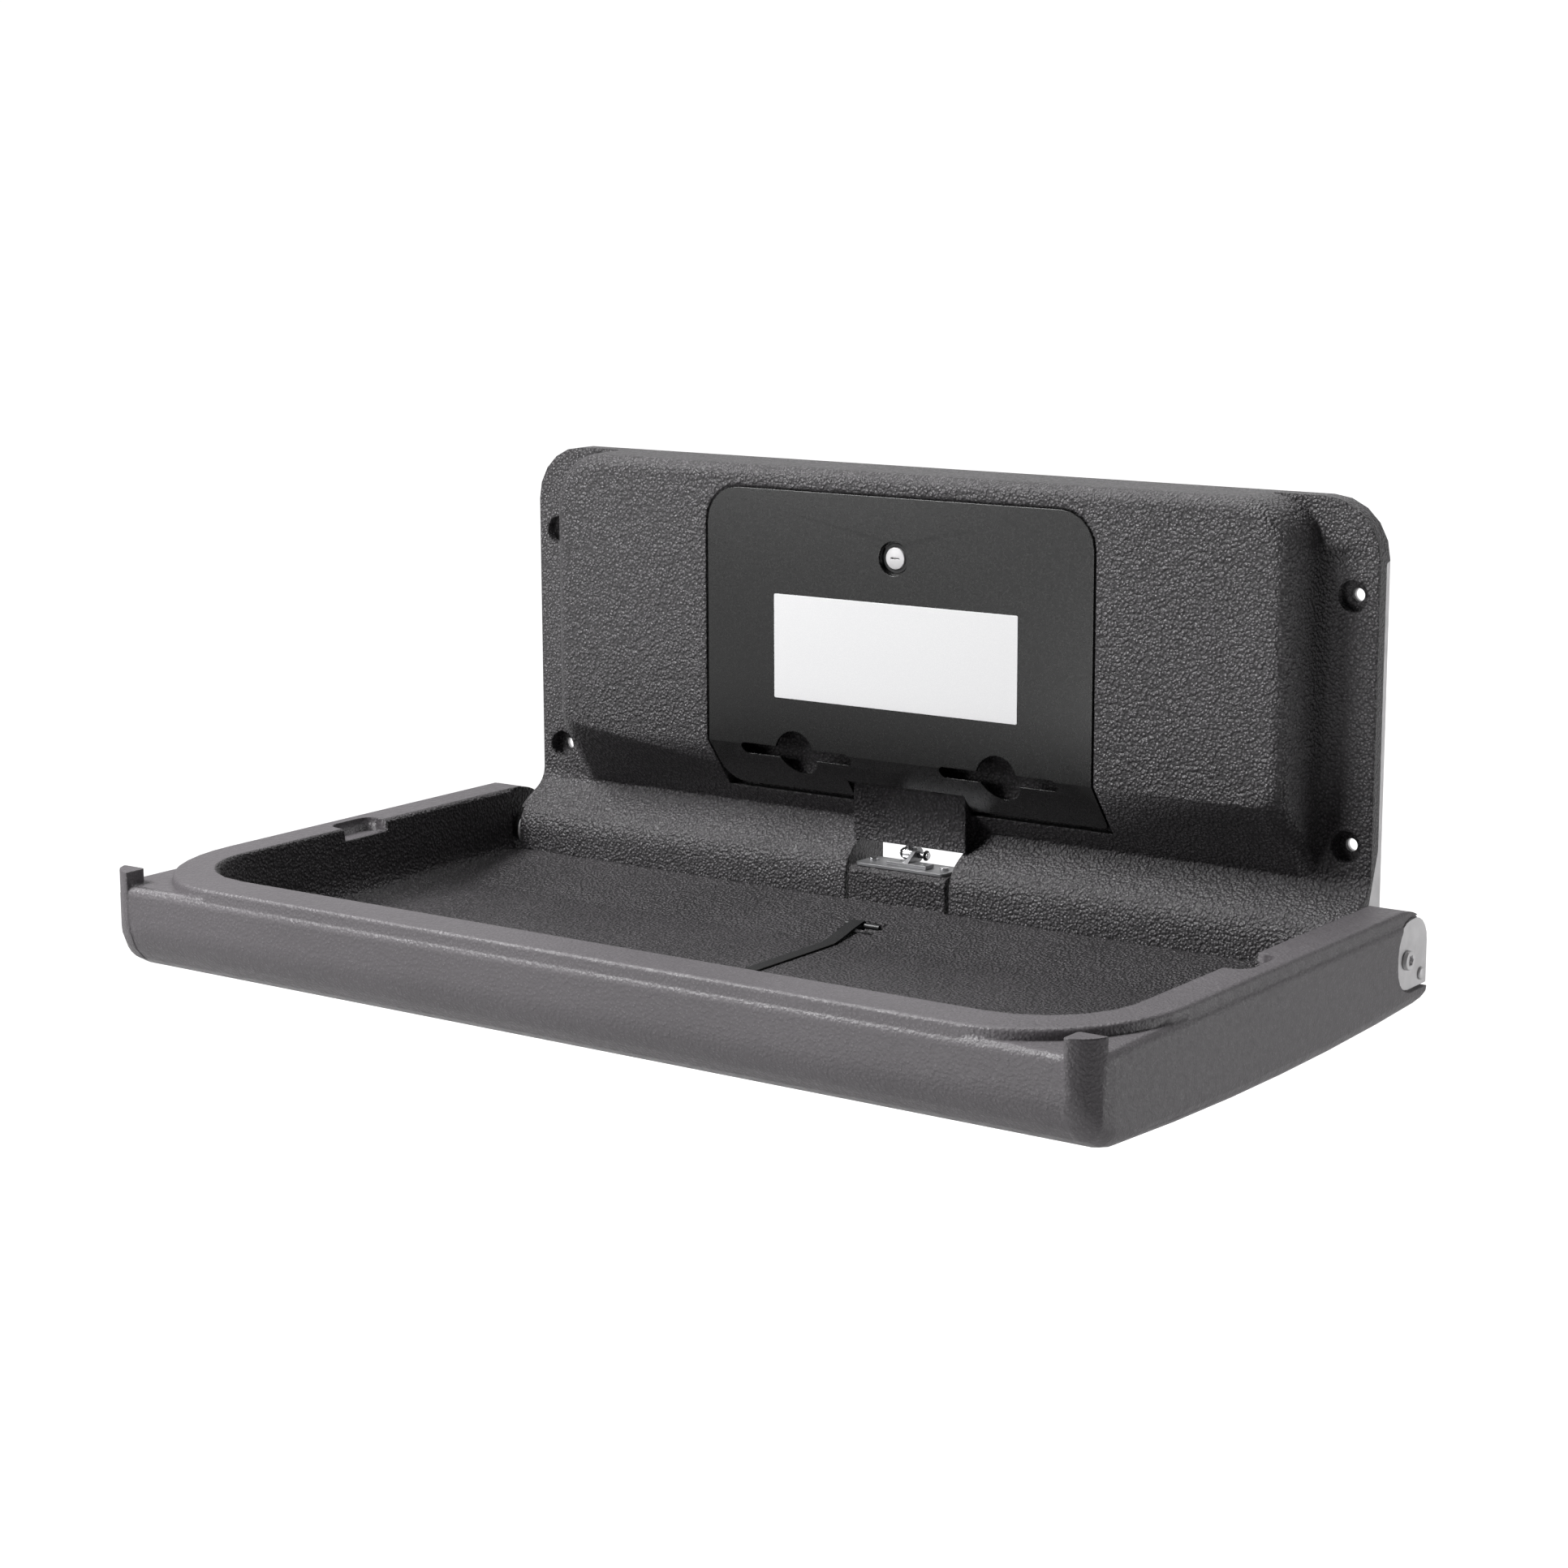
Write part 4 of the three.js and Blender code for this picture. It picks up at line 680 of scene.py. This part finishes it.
def lofted(loops: np.ndarray, capped: bool = True) -> tuple[np.ndarray, list[list[int]]]:
    """A skin through loops of as many points each, closed by a face at each end.

    Args:
        loops: Loops, points and X, Y, Z.
        capped: Whether the ends are closed.

    Returns:
        Points and faces.
    """
    count, around, _ = loops.shape
    faces = grid_faces(count, around)
    if capped:
        faces.append(list(range(around))[::-1])
        faces.append(list(range((count - 1) * around, count * around)))
    return loops.reshape(-1, 3), faces


def ring(radius: np.ndarray | float, at: float, side: int, sides: int = ROUND) -> np.ndarray:
    """A ring of points round the X axis.

    Args:
        radius: One radius, or one for each point.
        at: Its place along X.
        side: The sign of X.
        sides: Points in the ring.

    Returns:
        The points.
    """
    turn = circle(sides)
    reach = np.broadcast_to(radius, sides)
    return np.stack([np.full(sides, side * at), reach * np.cos(turn), reach * np.sin(turn)], 1)


def turned(profile: list[Span], side: int = 1, sides: int = ROUND) -> np.ndarray:
    """Rings of a piece turned about X.

    Args:
        profile: Radius and place of each ring.
        side: The sign of X.
        sides: Points in a ring.

    Returns:
        The rings as loops.
    """
    return np.stack([ring(radius, at, side, sides) for radius, at in profile])


def rounded_end(radius: float, at: float, edge: float, steps: int = 5) -> list[Span]:
    """Profile of a turned piece's rounded outer edge, ending on its flat face.

    Args:
        radius: The piece's radius.
        at: Place of its end face.
        edge: The edge's radius.
        steps: Facets on the edge.

    Returns:
        Radius and place of each ring.
    """
    turn = np.linspace(0, np.pi / 2, steps + 1)
    reach = radius - edge * (1 - np.cos(turn))
    place = at - edge * (1 - np.sin(turn))
    return list(zip(reach.tolist(), place.tolist()))


# Sub-assemblies


@dataclass
class WallUnit:
    """The grained wall housing with the steel behind it."""

    shop: Workshop
    behind: tuple[str, ...] = ("back_rail", "lock_keeper")

    def build(self) -> None:
        """Builds the housing and dresses the steel behind it."""
        self.shop.cast("wall_housing", "housing_moulding", Finish.MOULDING)
        for node in self.behind:
            self.shop.dress(node, Finish.STEEL)
        for side in Side:
            word = side.word
            self.shop.cast(f"{word}_hinge_bracket", f"{word}_leg_and_ear", Finish.STEEL)
            self.shop.cast(f"{word}_damper_cheek", f"{word}_cheek_plate", Finish.STEEL)
            self.shop.dress(f"{word}_door_hinge_pin", Finish.BRIGHT)


@dataclass
class Tray:
    """The folding tray: one grained moulding."""

    shop: Workshop

    def build(self) -> None:
        """Builds the moulding."""
        self.shop.cast("tray_shell", "tray_moulding", Finish.TRAY)


@dataclass
class HingeHardware:
    """Pivot bolts, nuts, bushings, stop studs and hinge plates at the tray's two ends."""

    shop: Workshop
    pivot: Span = (-43.0, -180.5)
    seat: float = 474.3
    shank: float = 5.0
    shank_foot: float = 408.7
    head: float = 8.0
    head_height: float = 3.6
    head_edge: float = 1.3
    head_chamfer: float = 0.3
    socket: float = 4.1
    socket_depth: float = 2.4
    socket_mouth: float = 1.22
    socket_lip: float = 0.25
    socket_points: int = 6
    socket_swell: float = 0.14
    stud: Span = (-17.0, -196.3)
    stud_radius: float = 4.0
    stud_foot: float = 426.0
    stud_head: float = 5.2
    stud_height: float = 2.3
    stud_edge: float = 0.6
    dome_power: float = 0.6
    dome_steps: int = 6
    smooth: float = 35.0

    def star(self, at: float, side: Side) -> np.ndarray:
        """Outline of the socket: a circle whose radius swells and sinks six times round.

        Args:
            at: Its place along X.
            side: The end of the station.

        Returns:
            The loop.
        """
        swell = self.socket_swell * np.cos(self.socket_points * circle(ROUND))
        return ring(self.socket * (1 + swell), at, side.value)

    def bolt(self, side: Side) -> None:
        """Shoulder bolt with a rounded head and a star socket.

        Args:
            side: The end of the station.
        """
        face = self.seat + self.head_height
        profile = [(TIP, self.shank_foot), (self.shank, self.shank_foot), (self.shank, self.seat)]
        profile += [(self.head - self.head_chamfer, self.seat)]
        profile += [(self.head, self.seat + self.head_chamfer)]
        profile += rounded_end(self.head, face, self.head_edge)
        profile += [(self.socket * self.socket_mouth, face)]
        sunk = [
            self.star(face - depth, side) for depth in (0.0, self.socket_lip, self.socket_depth)
        ]
        loops = np.concatenate([turned(profile, side.value), np.stack(sunk)])
        loops[:, :, 1:] += self.pivot
        self.shop.piece(
            f"{side.word}_bolt", *lofted(loops), Finish.STEEL, Body.WALL_UNIT,
            (f"{side.word}_pivot_bolt",), self.smooth,
        )

    def stop(self, side: Side) -> None:
        """Stop stud with a domed head.

        Args:
            side: The end of the station.
        """
        face = self.seat + self.stud_height
        rise = self.stud_height - self.stud_edge
        profile = [(TIP, self.stud_foot), (self.stud_radius, self.stud_foot)]
        profile += [(self.stud_radius, self.seat), (self.stud_head, self.seat)]
        profile += [(self.stud_head, self.seat + self.stud_edge)]
        profile += [
            (self.stud_head * np.cos(a) ** self.dome_power + TIP, face - rise * (1 - np.sin(a)))
            for a in np.linspace(0.0, np.pi / 2, self.dome_steps + 1)[1:]
        ]
        loops = turned(profile, side.value)
        loops[:, :, 1:] += self.stud
        self.shop.piece(
            f"{side.word}_stud", *lofted(loops), Finish.STEEL, Body.TRAY,
            (f"{side.word}_stop_stud",),
        )

    def build(self) -> None:
        """Builds both sides."""
        for side in Side:
            word = side.word
            self.bolt(side)
            self.stop(side)
            self.shop.cast(f"{word}_hinge_plate", f"{word}_plate", Finish.STEEL)
            self.shop.dress(f"{word}_pivot_nut", Finish.BRIGHT)
            self.shop.dress(f"{word}_pivot_bushing", Finish.NYLON)


@dataclass
class TongueHardware:
    """Base plate, lug, cross pin and retaining rings on the tray's tongue."""

    shop: Workshop
    pin: Span = (-31.0, -155.0)
    pin_radius: float = 3.0
    pin_left: float = 14.0
    pin_right: float = 15.0
    pin_chamfer: float = 0.4
    pin_edge: float = 0.5
    groove: float = 0.8
    groove_gap: float = 0.3
    ring_radius: float = 4.6
    ring_width: float = 1.6
    ring_bite: float = 0.5
    ring_power: float = 0.5
    ring_places: Span = (-11.3, 12.3)
    sides: int = 48
    section: int = 20
    smooth: float = 35.0

    def cross_pin(self) -> None:
        """Cross pin, turned with a groove for each retaining ring."""
        radius, left, right = self.pin_radius, -self.pin_left, self.pin_right
        neck = radius - self.groove
        half = self.ring_width / 2 + self.groove_gap
        profile = [(TIP, left), (radius - self.pin_chamfer, left)]
        profile += [(radius, left + self.pin_chamfer)]
        for at in self.ring_places:
            profile += [(radius, at - half), (neck, at - half)]
            profile += [(neck, at + half), (radius, at + half)]
        profile += rounded_end(radius, right, self.pin_edge) + [(TIP, right)]
        loops = turned(profile, sides=self.sides)
        loops[:, :, 1:] += self.pin
        self.shop.piece(
            "cross_pin", *lofted(loops), Finish.BRIGHT, Body.TRAY, ("damper_lower_pin",),
            self.smooth,
        )

    def clip(self, at: float, side: Side) -> None:
        """Retaining ring: a rounded rectangle carried round the pin.

        Args:
            at: Its middle along X.
            side: Which end of the pin it is on.
        """
        turn = circle(self.section)
        bore = self.pin_radius - self.ring_bite
        middle = (self.ring_radius + bore) / 2
        reach = (self.ring_radius - bore) / 2
        half = self.ring_width / 2
        flat = broad(np.cos(turn), self.ring_power)
        wide = broad(np.sin(turn), self.ring_power)
        profile = [(middle + reach * c, at + half * s) for c, s in zip(flat, wide)]
        loops = turned(profile + profile[:1], sides=self.sides)
        loops[:, :, 1:] += self.pin
        self.shop.piece(
            f"cross_pin_ring_{side.word}", *lofted(loops, capped=False), Finish.BLACK_METAL,
            Body.TRAY, (f"lower_pin_clip_{side.word}",),
        )

    def build(self) -> None:
        """Builds the plates, the pin and its rings and dresses the screws."""
        # Painted shade: the base plate and lug get the darkened steel.
        self.shop.cast("damper_base_plate", "base_plate", Finish.ZINC)
        self.shop.cast("damper_lug", "lug", Finish.ZINC)
        self.cross_pin()
        for at, side in zip(self.ring_places, Side):
            self.clip(at, side)
        for side in Side:
            self.shop.dress(f"{side.word}_base_plate_screw", Finish.BRIGHT)


@dataclass
class Damper:
    """The damper inside the wall unit."""

    shop: Workshop
    smooth: float = 40.0

    def build(self) -> None:
        """Builds the rod and the cylinder and dresses the rest."""
        self.shop.cast("damper_rod", "rod", Finish.BRIGHT, self.smooth)
        self.shop.cast("damper_cylinder", "cylinder", Finish.BLACK_METAL, self.smooth)
        self.shop.dress("damper_piston", Finish.BLACK_METAL)
        self.shop.dress("damper_rod_guide", Finish.NYLON)
        self.shop.dress("damper_upper_pin", Finish.BRIGHT)
        for side in Side:
            self.shop.dress(f"upper_pin_clip_{side.word}", Finish.BLACK_METAL)


@dataclass
class LinerDoor:
    """The satin liner door with its blank label."""

    shop: Workshop
    smooth: float = 28.0
    label_half: float = 125.0
    label_top: float = 69.0
    label_foot: float = -23.0
    label_back: float = -66.0
    label_face: float = -66.4
    corner: float = 1.5
    edge: float = 0.15
    sides: int = 64

    def label(self) -> None:
        """Blank label: loops of a rounded rectangle, the last drawn in over its soft edge."""
        turn = circle(self.sides)
        nudge = 1e-9
        sign_x, sign_z = np.sign(np.cos(turn) + nudge), np.sign(np.sin(turn) + nudge)
        high = self.label_top - self.label_foot
        middle = (self.label_top + self.label_foot) / 2
        back, face = self.label_back, self.label_face
        loops = []
        for inset, at in ((0, back), (0, face + self.edge), (self.edge, face)):
            radius = self.corner - inset
            x = sign_x * (self.label_half - self.corner) + radius * np.cos(turn)
            z = sign_z * (high - 2 * self.corner) / 2 + radius * np.sin(turn) + middle
            loops.append(np.stack([x, np.full(self.sides, at), z], 1))
        self.shop.piece(
            "blank_label_plate", *lofted(np.stack(loops)), Finish.LABEL, Body.WALL_UNIT,
            ("door_label",),
        )

    def build(self) -> None:
        """Builds the panel and its label."""
        self.shop.cast("liner_door", "door_panel", Finish.DOOR, self.smooth)
        self.label()


@dataclass
class DoorLock:
    """The cylinder lock of the door: rim, plug with its keyway, cam, nut and screw."""

    shop: Workshop
    centre: Span = (0.0, 108.0)
    seat: float = -60.5
    body: float = 11.0
    body_back: float = -51.5
    rim: float = 13.0
    rim_gap: float = 0.3
    rim_proud: float = 1.3
    rim_edge: float = 0.4
    bore: float = 9.8
    plug: float = 9.5
    plug_proud: float = 2.9
    plug_edge: float = 0.6
    plug_step: float = 0.2
    tail: float = 4.0
    tail_depth: float = 2.3
    key_half: Span = (4.5, 0.75)
    key_swell: Span = (1.3, 2.2)
    key_depth: float = 3.0
    smooth: float = 30.0

    def loop(self, x: np.ndarray, z: np.ndarray, at: float) -> np.ndarray:
        """A loop of points round the lock's axis.

        Args:
            x: Reach of each point from the axis along X.
            z: Reach of each point from the axis along Z.
            at: Its place along Y.

        Returns:
            The loop.
        """
        return np.stack([self.centre[0] + x, np.full(ROUND, at), self.centre[1] + z], 1)

    def round_loop(self, radius: float, at: float) -> np.ndarray:
        """A circle round the lock's axis.

        Args:
            radius: Its radius.
            at: Its place along Y.

        Returns:
            The loop.
        """
        turn = circle(ROUND)
        return self.loop(radius * np.cos(turn), radius * np.sin(turn), at)

    def key_loop(self, at: float) -> np.ndarray:
        """Outline of the keyway: a circle's points pressed into a slot.

        Args:
            at: Its place along Y.

        Returns:
            The loop.
        """
        turn = circle(ROUND)
        x, z = (
            np.clip(half * swell * wave, -half, half)
            for half, swell, wave in zip(
                self.key_half, self.key_swell, (np.cos(turn), np.sin(turn))
            )
        )
        return self.loop(x, z, at)

    def rim_ring(self) -> None:
        """The lock's body with its rim over the door."""
        back, face = self.body_back, self.seat - self.rim_proud
        under = self.seat - self.rim_gap
        edge = self.rim_edge
        profile = [(self.bore, back), (self.body, back), (self.body, under), (self.rim, under)]
        profile += [(self.rim, face + edge), (self.rim - edge, face)]
        profile += [(self.bore + edge, face), (self.bore, face + edge), (self.bore, back)]
        loops = np.stack([self.round_loop(*place) for place in profile])
        self.shop.piece(
            "lock_rim", *lofted(loops, capped=False), Finish.BLACK_METAL, Body.WALL_UNIT,
            ("lock_body",),
        )

    def cylinder(self) -> None:
        """The plug that turns in the body, with its keyway."""
        back, face = self.body_back, self.seat - self.plug_proud
        profile = [(self.tail, back + self.tail_depth), (self.tail, back), (self.plug, back)]
        profile += [(self.plug, face + self.plug_edge)]
        profile += [(self.plug - self.plug_step, face + self.plug_step)]
        profile += [(self.plug - self.plug_edge, face)]
        rings = [self.round_loop(*place) for place in profile]
        rings += [self.key_loop(face), self.key_loop(face + self.key_depth)]
        self.shop.piece(
            "lock_cylinder", *lofted(np.stack(rings)), Finish.STEEL, Body.LOCK_PLUG,
            ("lock_plug",), self.smooth,
        )

    def build(self) -> None:
        """Builds the rim and the plug and dresses the rest."""
        self.rim_ring()
        self.cylinder()
        self.shop.dress("lock_nut", Finish.STEEL)
        self.shop.dress("lock_cam", Finish.STEEL)
        self.shop.dress("cam_screw", Finish.BRIGHT)


@dataclass(frozen=True)
class Route:
    """One strap's way in Y and Z: its anchor bar, where it meets the floor and where it ends."""

    word: str
    bar: Span
    landing: float
    end: float


@dataclass
class Strap:
    """The restraint strap: two lengths of webbing on anchor bars, joined by a buckle."""

    shop: Workshop
    middle: float = -5.0
    half_width: float = 6.5
    thickness: float = 1.4
    floor: float = -211.5
    bar_radius: float = 2.5
    bar_half: float = 17.7
    bar_edge: float = 0.4
    bar_gap: float = 0.3
    bar_sides: int = 40
    wrap: Span = (-0.62 * np.pi, 0.5 * np.pi)
    straightness: float = 0.65
    stride: float = 6.0
    fewest_strides: int = 3
    wrap_points: int = 24
    slope_points: int = 16
    section: int = 20
    section_powers: Span = (0.25, 0.6)
    smooth: float = 50.0
    routes: tuple[Route, ...] = (
        Route("rear", (-111.0, -203.5), -157.0, -415.7),
        Route("front", (-466.0, -206.5), -452.0, -434.7),
    )

    def path(self, route: Route) -> np.ndarray:
        """Middle line of a strap in Y and Z: round its bar, down to the floor and along it.

        Args:
            route: The strap's way.

        Returns:
            The line's points.
        """
        bar_y, bar_z = route.bar
        way = np.sign(route.end - bar_y)
        radius = self.bar_radius + self.bar_gap + self.thickness / 2
        turn = np.linspace(*self.wrap, self.wrap_points)
        loop = np.stack([bar_y - way * radius * np.cos(turn), bar_z + radius * np.sin(turn)], 1)
        land = self.floor + self.thickness / 2
        share = np.linspace(0, 1, self.slope_points)[1:]
        ease = share * share * (3 - 2 * share)
        fall = self.straightness * share + (1 - self.straightness) * ease
        top_y, top_z = loop[-1]
        slope = np.stack([
            top_y + (route.landing - top_y) * share,
            top_z + (land - top_z) * fall,
        ], 1)
        count = max(self.fewest_strides, int(abs(route.end - route.landing) / self.stride))
        run = np.linspace(route.landing, route.end, count)[1:]
        flat = np.stack([run, np.full(len(run), land)], 1)
        return np.concatenate([loop, slope, flat])

    def ribbon(self, route: Route) -> None:
        """A strap: a flat section with rounded edges carried along its middle line.

        Args:
            route: The strap's way.
        """
        word = route.word
        line = self.path(route)
        along = np.gradient(line, axis=0)
        along /= np.linalg.norm(along, axis=1)[:, None]
        across = np.stack([-along[:, 1], along[:, 0]], 1)
        turn = circle(self.section)
        wide = broad(np.cos(turn), self.section_powers[0]) * self.half_width
        high = broad(np.sin(turn), self.section_powers[1]) * self.thickness / 2
        loops = np.zeros((len(line), self.section, 3))
        loops[:, :, 0] = self.middle + wide
        loops[:, :, 1] = line[:, None, 0] + across[:, None, 0] * high
        loops[:, :, 2] = line[:, None, 1] + across[:, None, 1] * high
        made = self.shop.piece(
            f"{word}_webbing", *lofted(loops), Finish.WEBBING, Body.TRAY, (f"{word}_strap",),
            self.smooth,
        )

    def bar(self, route: Route) -> None:
        """Anchor bar: a turned rod with rounded ends.

        Args:
            route: The way of the strap that it holds.
        """
        end = rounded_end(self.bar_radius, self.bar_half, self.bar_edge) + [(TIP, self.bar_half)]
        start = [(radius, -at) for radius, at in end][::-1]
        loops = turned(start + end, sides=self.bar_sides)
        loops[:, :, 1:] += route.bar
        self.shop.piece(
            f"{route.word}_bar", *lofted(loops), Finish.BLACK_METAL, Body.TRAY,
            (f"{route.word}_anchor_bar",),
        )

    def build(self) -> None:
        """Builds both straps, their bars and the buckle's halves."""
        for route in self.routes:
            self.ribbon(route)
            self.bar(route)
        self.shop.cast("buckle_tongue", "buckle_prong_half", Finish.BLACK_PLASTIC)
        self.shop.cast("buckle_socket", "buckle_socket_half", Finish.BLACK_PLASTIC)


# Studio


@dataclass(frozen=True)
class Lamp:
    """An oblong area lamp: its place and size in metres and its power in watts."""

    name: str
    place: Place
    size: Span
    power: float


@dataclass
class Studio:
    """The floor, the light and the camera."""

    eye: Place = (1.56733, -2.41200, 0.45932)
    yaw: float = 35.6462
    pitch: float = 10.9601
    roll: float = -0.1862
    lens: float = 76.52
    sensor: float = 36.0
    far: float = 50.0
    ambient: float = 0.03
    gloss: float = 0.45
    floor: float = -0.95
    floor_colour: float = 0.35
    floor_roughness: float = 0.9
    floor_near: float = -7.0
    floor_far: float = 3.0
    floor_half: float = 8.0
    bend: float = 1.5
    bend_points: int = 13
    backdrop: float = 6.0
    columns: int = 5
    speck_scale: float = 30.0
    speck: Span = (0.97, 1.0)
    aim: Place = (0.0, -0.2, -0.1)
    lamps: tuple[Lamp, ...] = (
        Lamp("key", (-1.6, -1.6, 2.5), (1.6, 1.6), 165.0),
        Lamp("fill", (2.4, 1.0, -0.1), (1.2, 1.2), 17.0),
        Lamp("top", (-0.1, 0.8, 2.3), (1.2, 1.2), 30.0),
        Lamp("low", (-0.4, -3.3, -0.7), (1.6, 0.46), 21.0),
        Lamp("sheen", (-1.85, -2.6, 0.42), (0.8, 0.8), 10.5),
    )

    def camera(self) -> None:
        """Aims the camera by its yaw, pitch and roll."""
        yaw, pitch, roll = (np.radians(a) for a in (self.yaw, self.pitch, self.roll))
        level = np.cos(pitch)
        ahead = Vector((-np.sin(yaw) * level, np.cos(yaw) * level, -np.sin(pitch)))
        right = ahead.cross(Vector((0, 0, 1))).normalized()
        up = right.cross(ahead)
        across = right * np.cos(roll) + up * np.sin(roll)
        upright = up * np.cos(roll) - right * np.sin(roll)
        data = bpy.data.cameras.new("camera")
        data.lens = self.lens
        data.sensor_width = self.sensor
        data.clip_end = self.far
        made = bpy.data.objects.new("camera", data)
        turn = Matrix((across, upright, -ahead)).transposed().to_4x4()
        made.matrix_world = Matrix.Translation(Vector(self.eye)) @ turn
        bpy.context.scene.collection.objects.link(made)
        bpy.context.scene.camera = made

    def light(self, lamp: Lamp) -> None:
        """Hangs a lamp and aims it at the station.

        Args:
            lamp: The lamp.
        """
        data = bpy.data.lights.new(lamp.name, "AREA")
        data.shape = "RECTANGLE"
        data.size, data.size_y = lamp.size
        data.energy = lamp.power
        made = bpy.data.objects.new(lamp.name, data)
        aim = Vector(self.aim) - Vector(lamp.place)
        made.rotation_euler = aim.to_track_quat("-Z", "Y").to_euler()
        made.location = lamp.place
        bpy.context.scene.collection.objects.link(made)

    def white(self) -> bpy.types.Material:
        """Pale floor that shows white to the camera outside the station's shadow.

        Returns:
            The material.
        """
        recipe = Recipe("pale_floor")
        recipe.shader.inputs["Base Color"].default_value = (*(self.floor_colour,) * 3, 1)
        recipe.shader.inputs["Roughness"].default_value = self.floor_roughness
        recipe.shader.inputs["Emission Color"].default_value = (1, 1, 1, 1)
        path = recipe.node("ShaderNodeLightPath")
        gloss = recipe.math("MULTIPLY", path.outputs["Is Glossy Ray"], self.gloss)
        seen = recipe.math("MAXIMUM", path.outputs["Is Camera Ray"], gloss)
        seen = recipe.math("MAXIMUM", seen, path.outputs["Is Transmission Ray"])
        speck = recipe.spread(recipe.noise(self.speck_scale), *self.speck, MOST_OF_NOISE)
        recipe.drive("Emission Strength", recipe.math("MULTIPLY", seen, speck))
        return recipe.material

    def world(self) -> None:
        """Faint even light all round that the camera and clear materials see as white."""
        made = bpy.data.worlds.new("studio")
        made.use_nodes = True
        tree = made.node_tree
        back = tree.nodes["Background"]
        back.inputs["Color"].default_value = (1, 1, 1, 1)
        path = tree.nodes.new("ShaderNodeLightPath")
        most = tree.nodes.new("ShaderNodeMath")
        most.operation = "MAXIMUM"
        tree.links.new(path.outputs["Is Camera Ray"], most.inputs[0])
        tree.links.new(path.outputs["Is Transmission Ray"], most.inputs[1])
        strength = tree.nodes.new("ShaderNodeMapRange")
        strength.inputs["To Min"].default_value = self.ambient
        strength.inputs["To Max"].default_value = 1.0
        tree.links.new(most.outputs["Value"], strength.inputs["Value"])
        tree.links.new(strength.outputs["Result"], back.inputs["Strength"])
        bpy.context.scene.world = made

    def ground(self) -> None:
        """A floor plane that bends up far behind into a backdrop: a profile carried along X."""
        turn = np.linspace(0, np.pi / 2, self.bend_points)
        curve_y = self.floor_far + self.bend * np.sin(turn)
        curve_z = self.bend * (1 - np.cos(turn))
        y = np.concatenate([[self.floor_near], curve_y, [self.floor_far + self.bend]])
        z = np.concatenate([[0.0], curve_z, [self.backdrop]]) + self.floor
        x = np.linspace(-self.floor_half, self.floor_half, self.columns)
        points = np.zeros((len(x), len(y), 3))
        points[:, :, 0] = x[:, None]
        points[:, :, 1] = y
        points[:, :, 2] = z
        faces = grid_faces(len(x), len(y), wrap=False)
        mesh = bpy.data.meshes.new("ground")
        mesh.from_pydata(points.reshape(-1, 3).tolist(), [], faces)
        mesh.shade_smooth()
        mesh.materials.append(self.white())
        made = bpy.data.objects.new("ground", mesh)
        bpy.context.scene.collection.objects.link(made)

    def build(self) -> None:
        """Sets up the studio."""
        self.camera()
        self.world()
        self.ground()
        for lamp in self.lamps:
            self.light(lamp)
        bpy.context.scene.view_settings.view_transform = "Standard"


PARTS = (WallUnit, Tray, HingeHardware, TongueHardware, Damper, LinerDoor, DoorLock, Strap)


def main() -> None:
    """Builds the station's sub-assemblies in order."""
    logging.basicConfig(level=logging.INFO, format="%(name)s: %(message)s")
    Studio().build()
    shop = Workshop()
    for part in PARTS:
        part(shop).build()
        log.info("built %s", part.__name__)


if __name__ == "__main__":
    main()
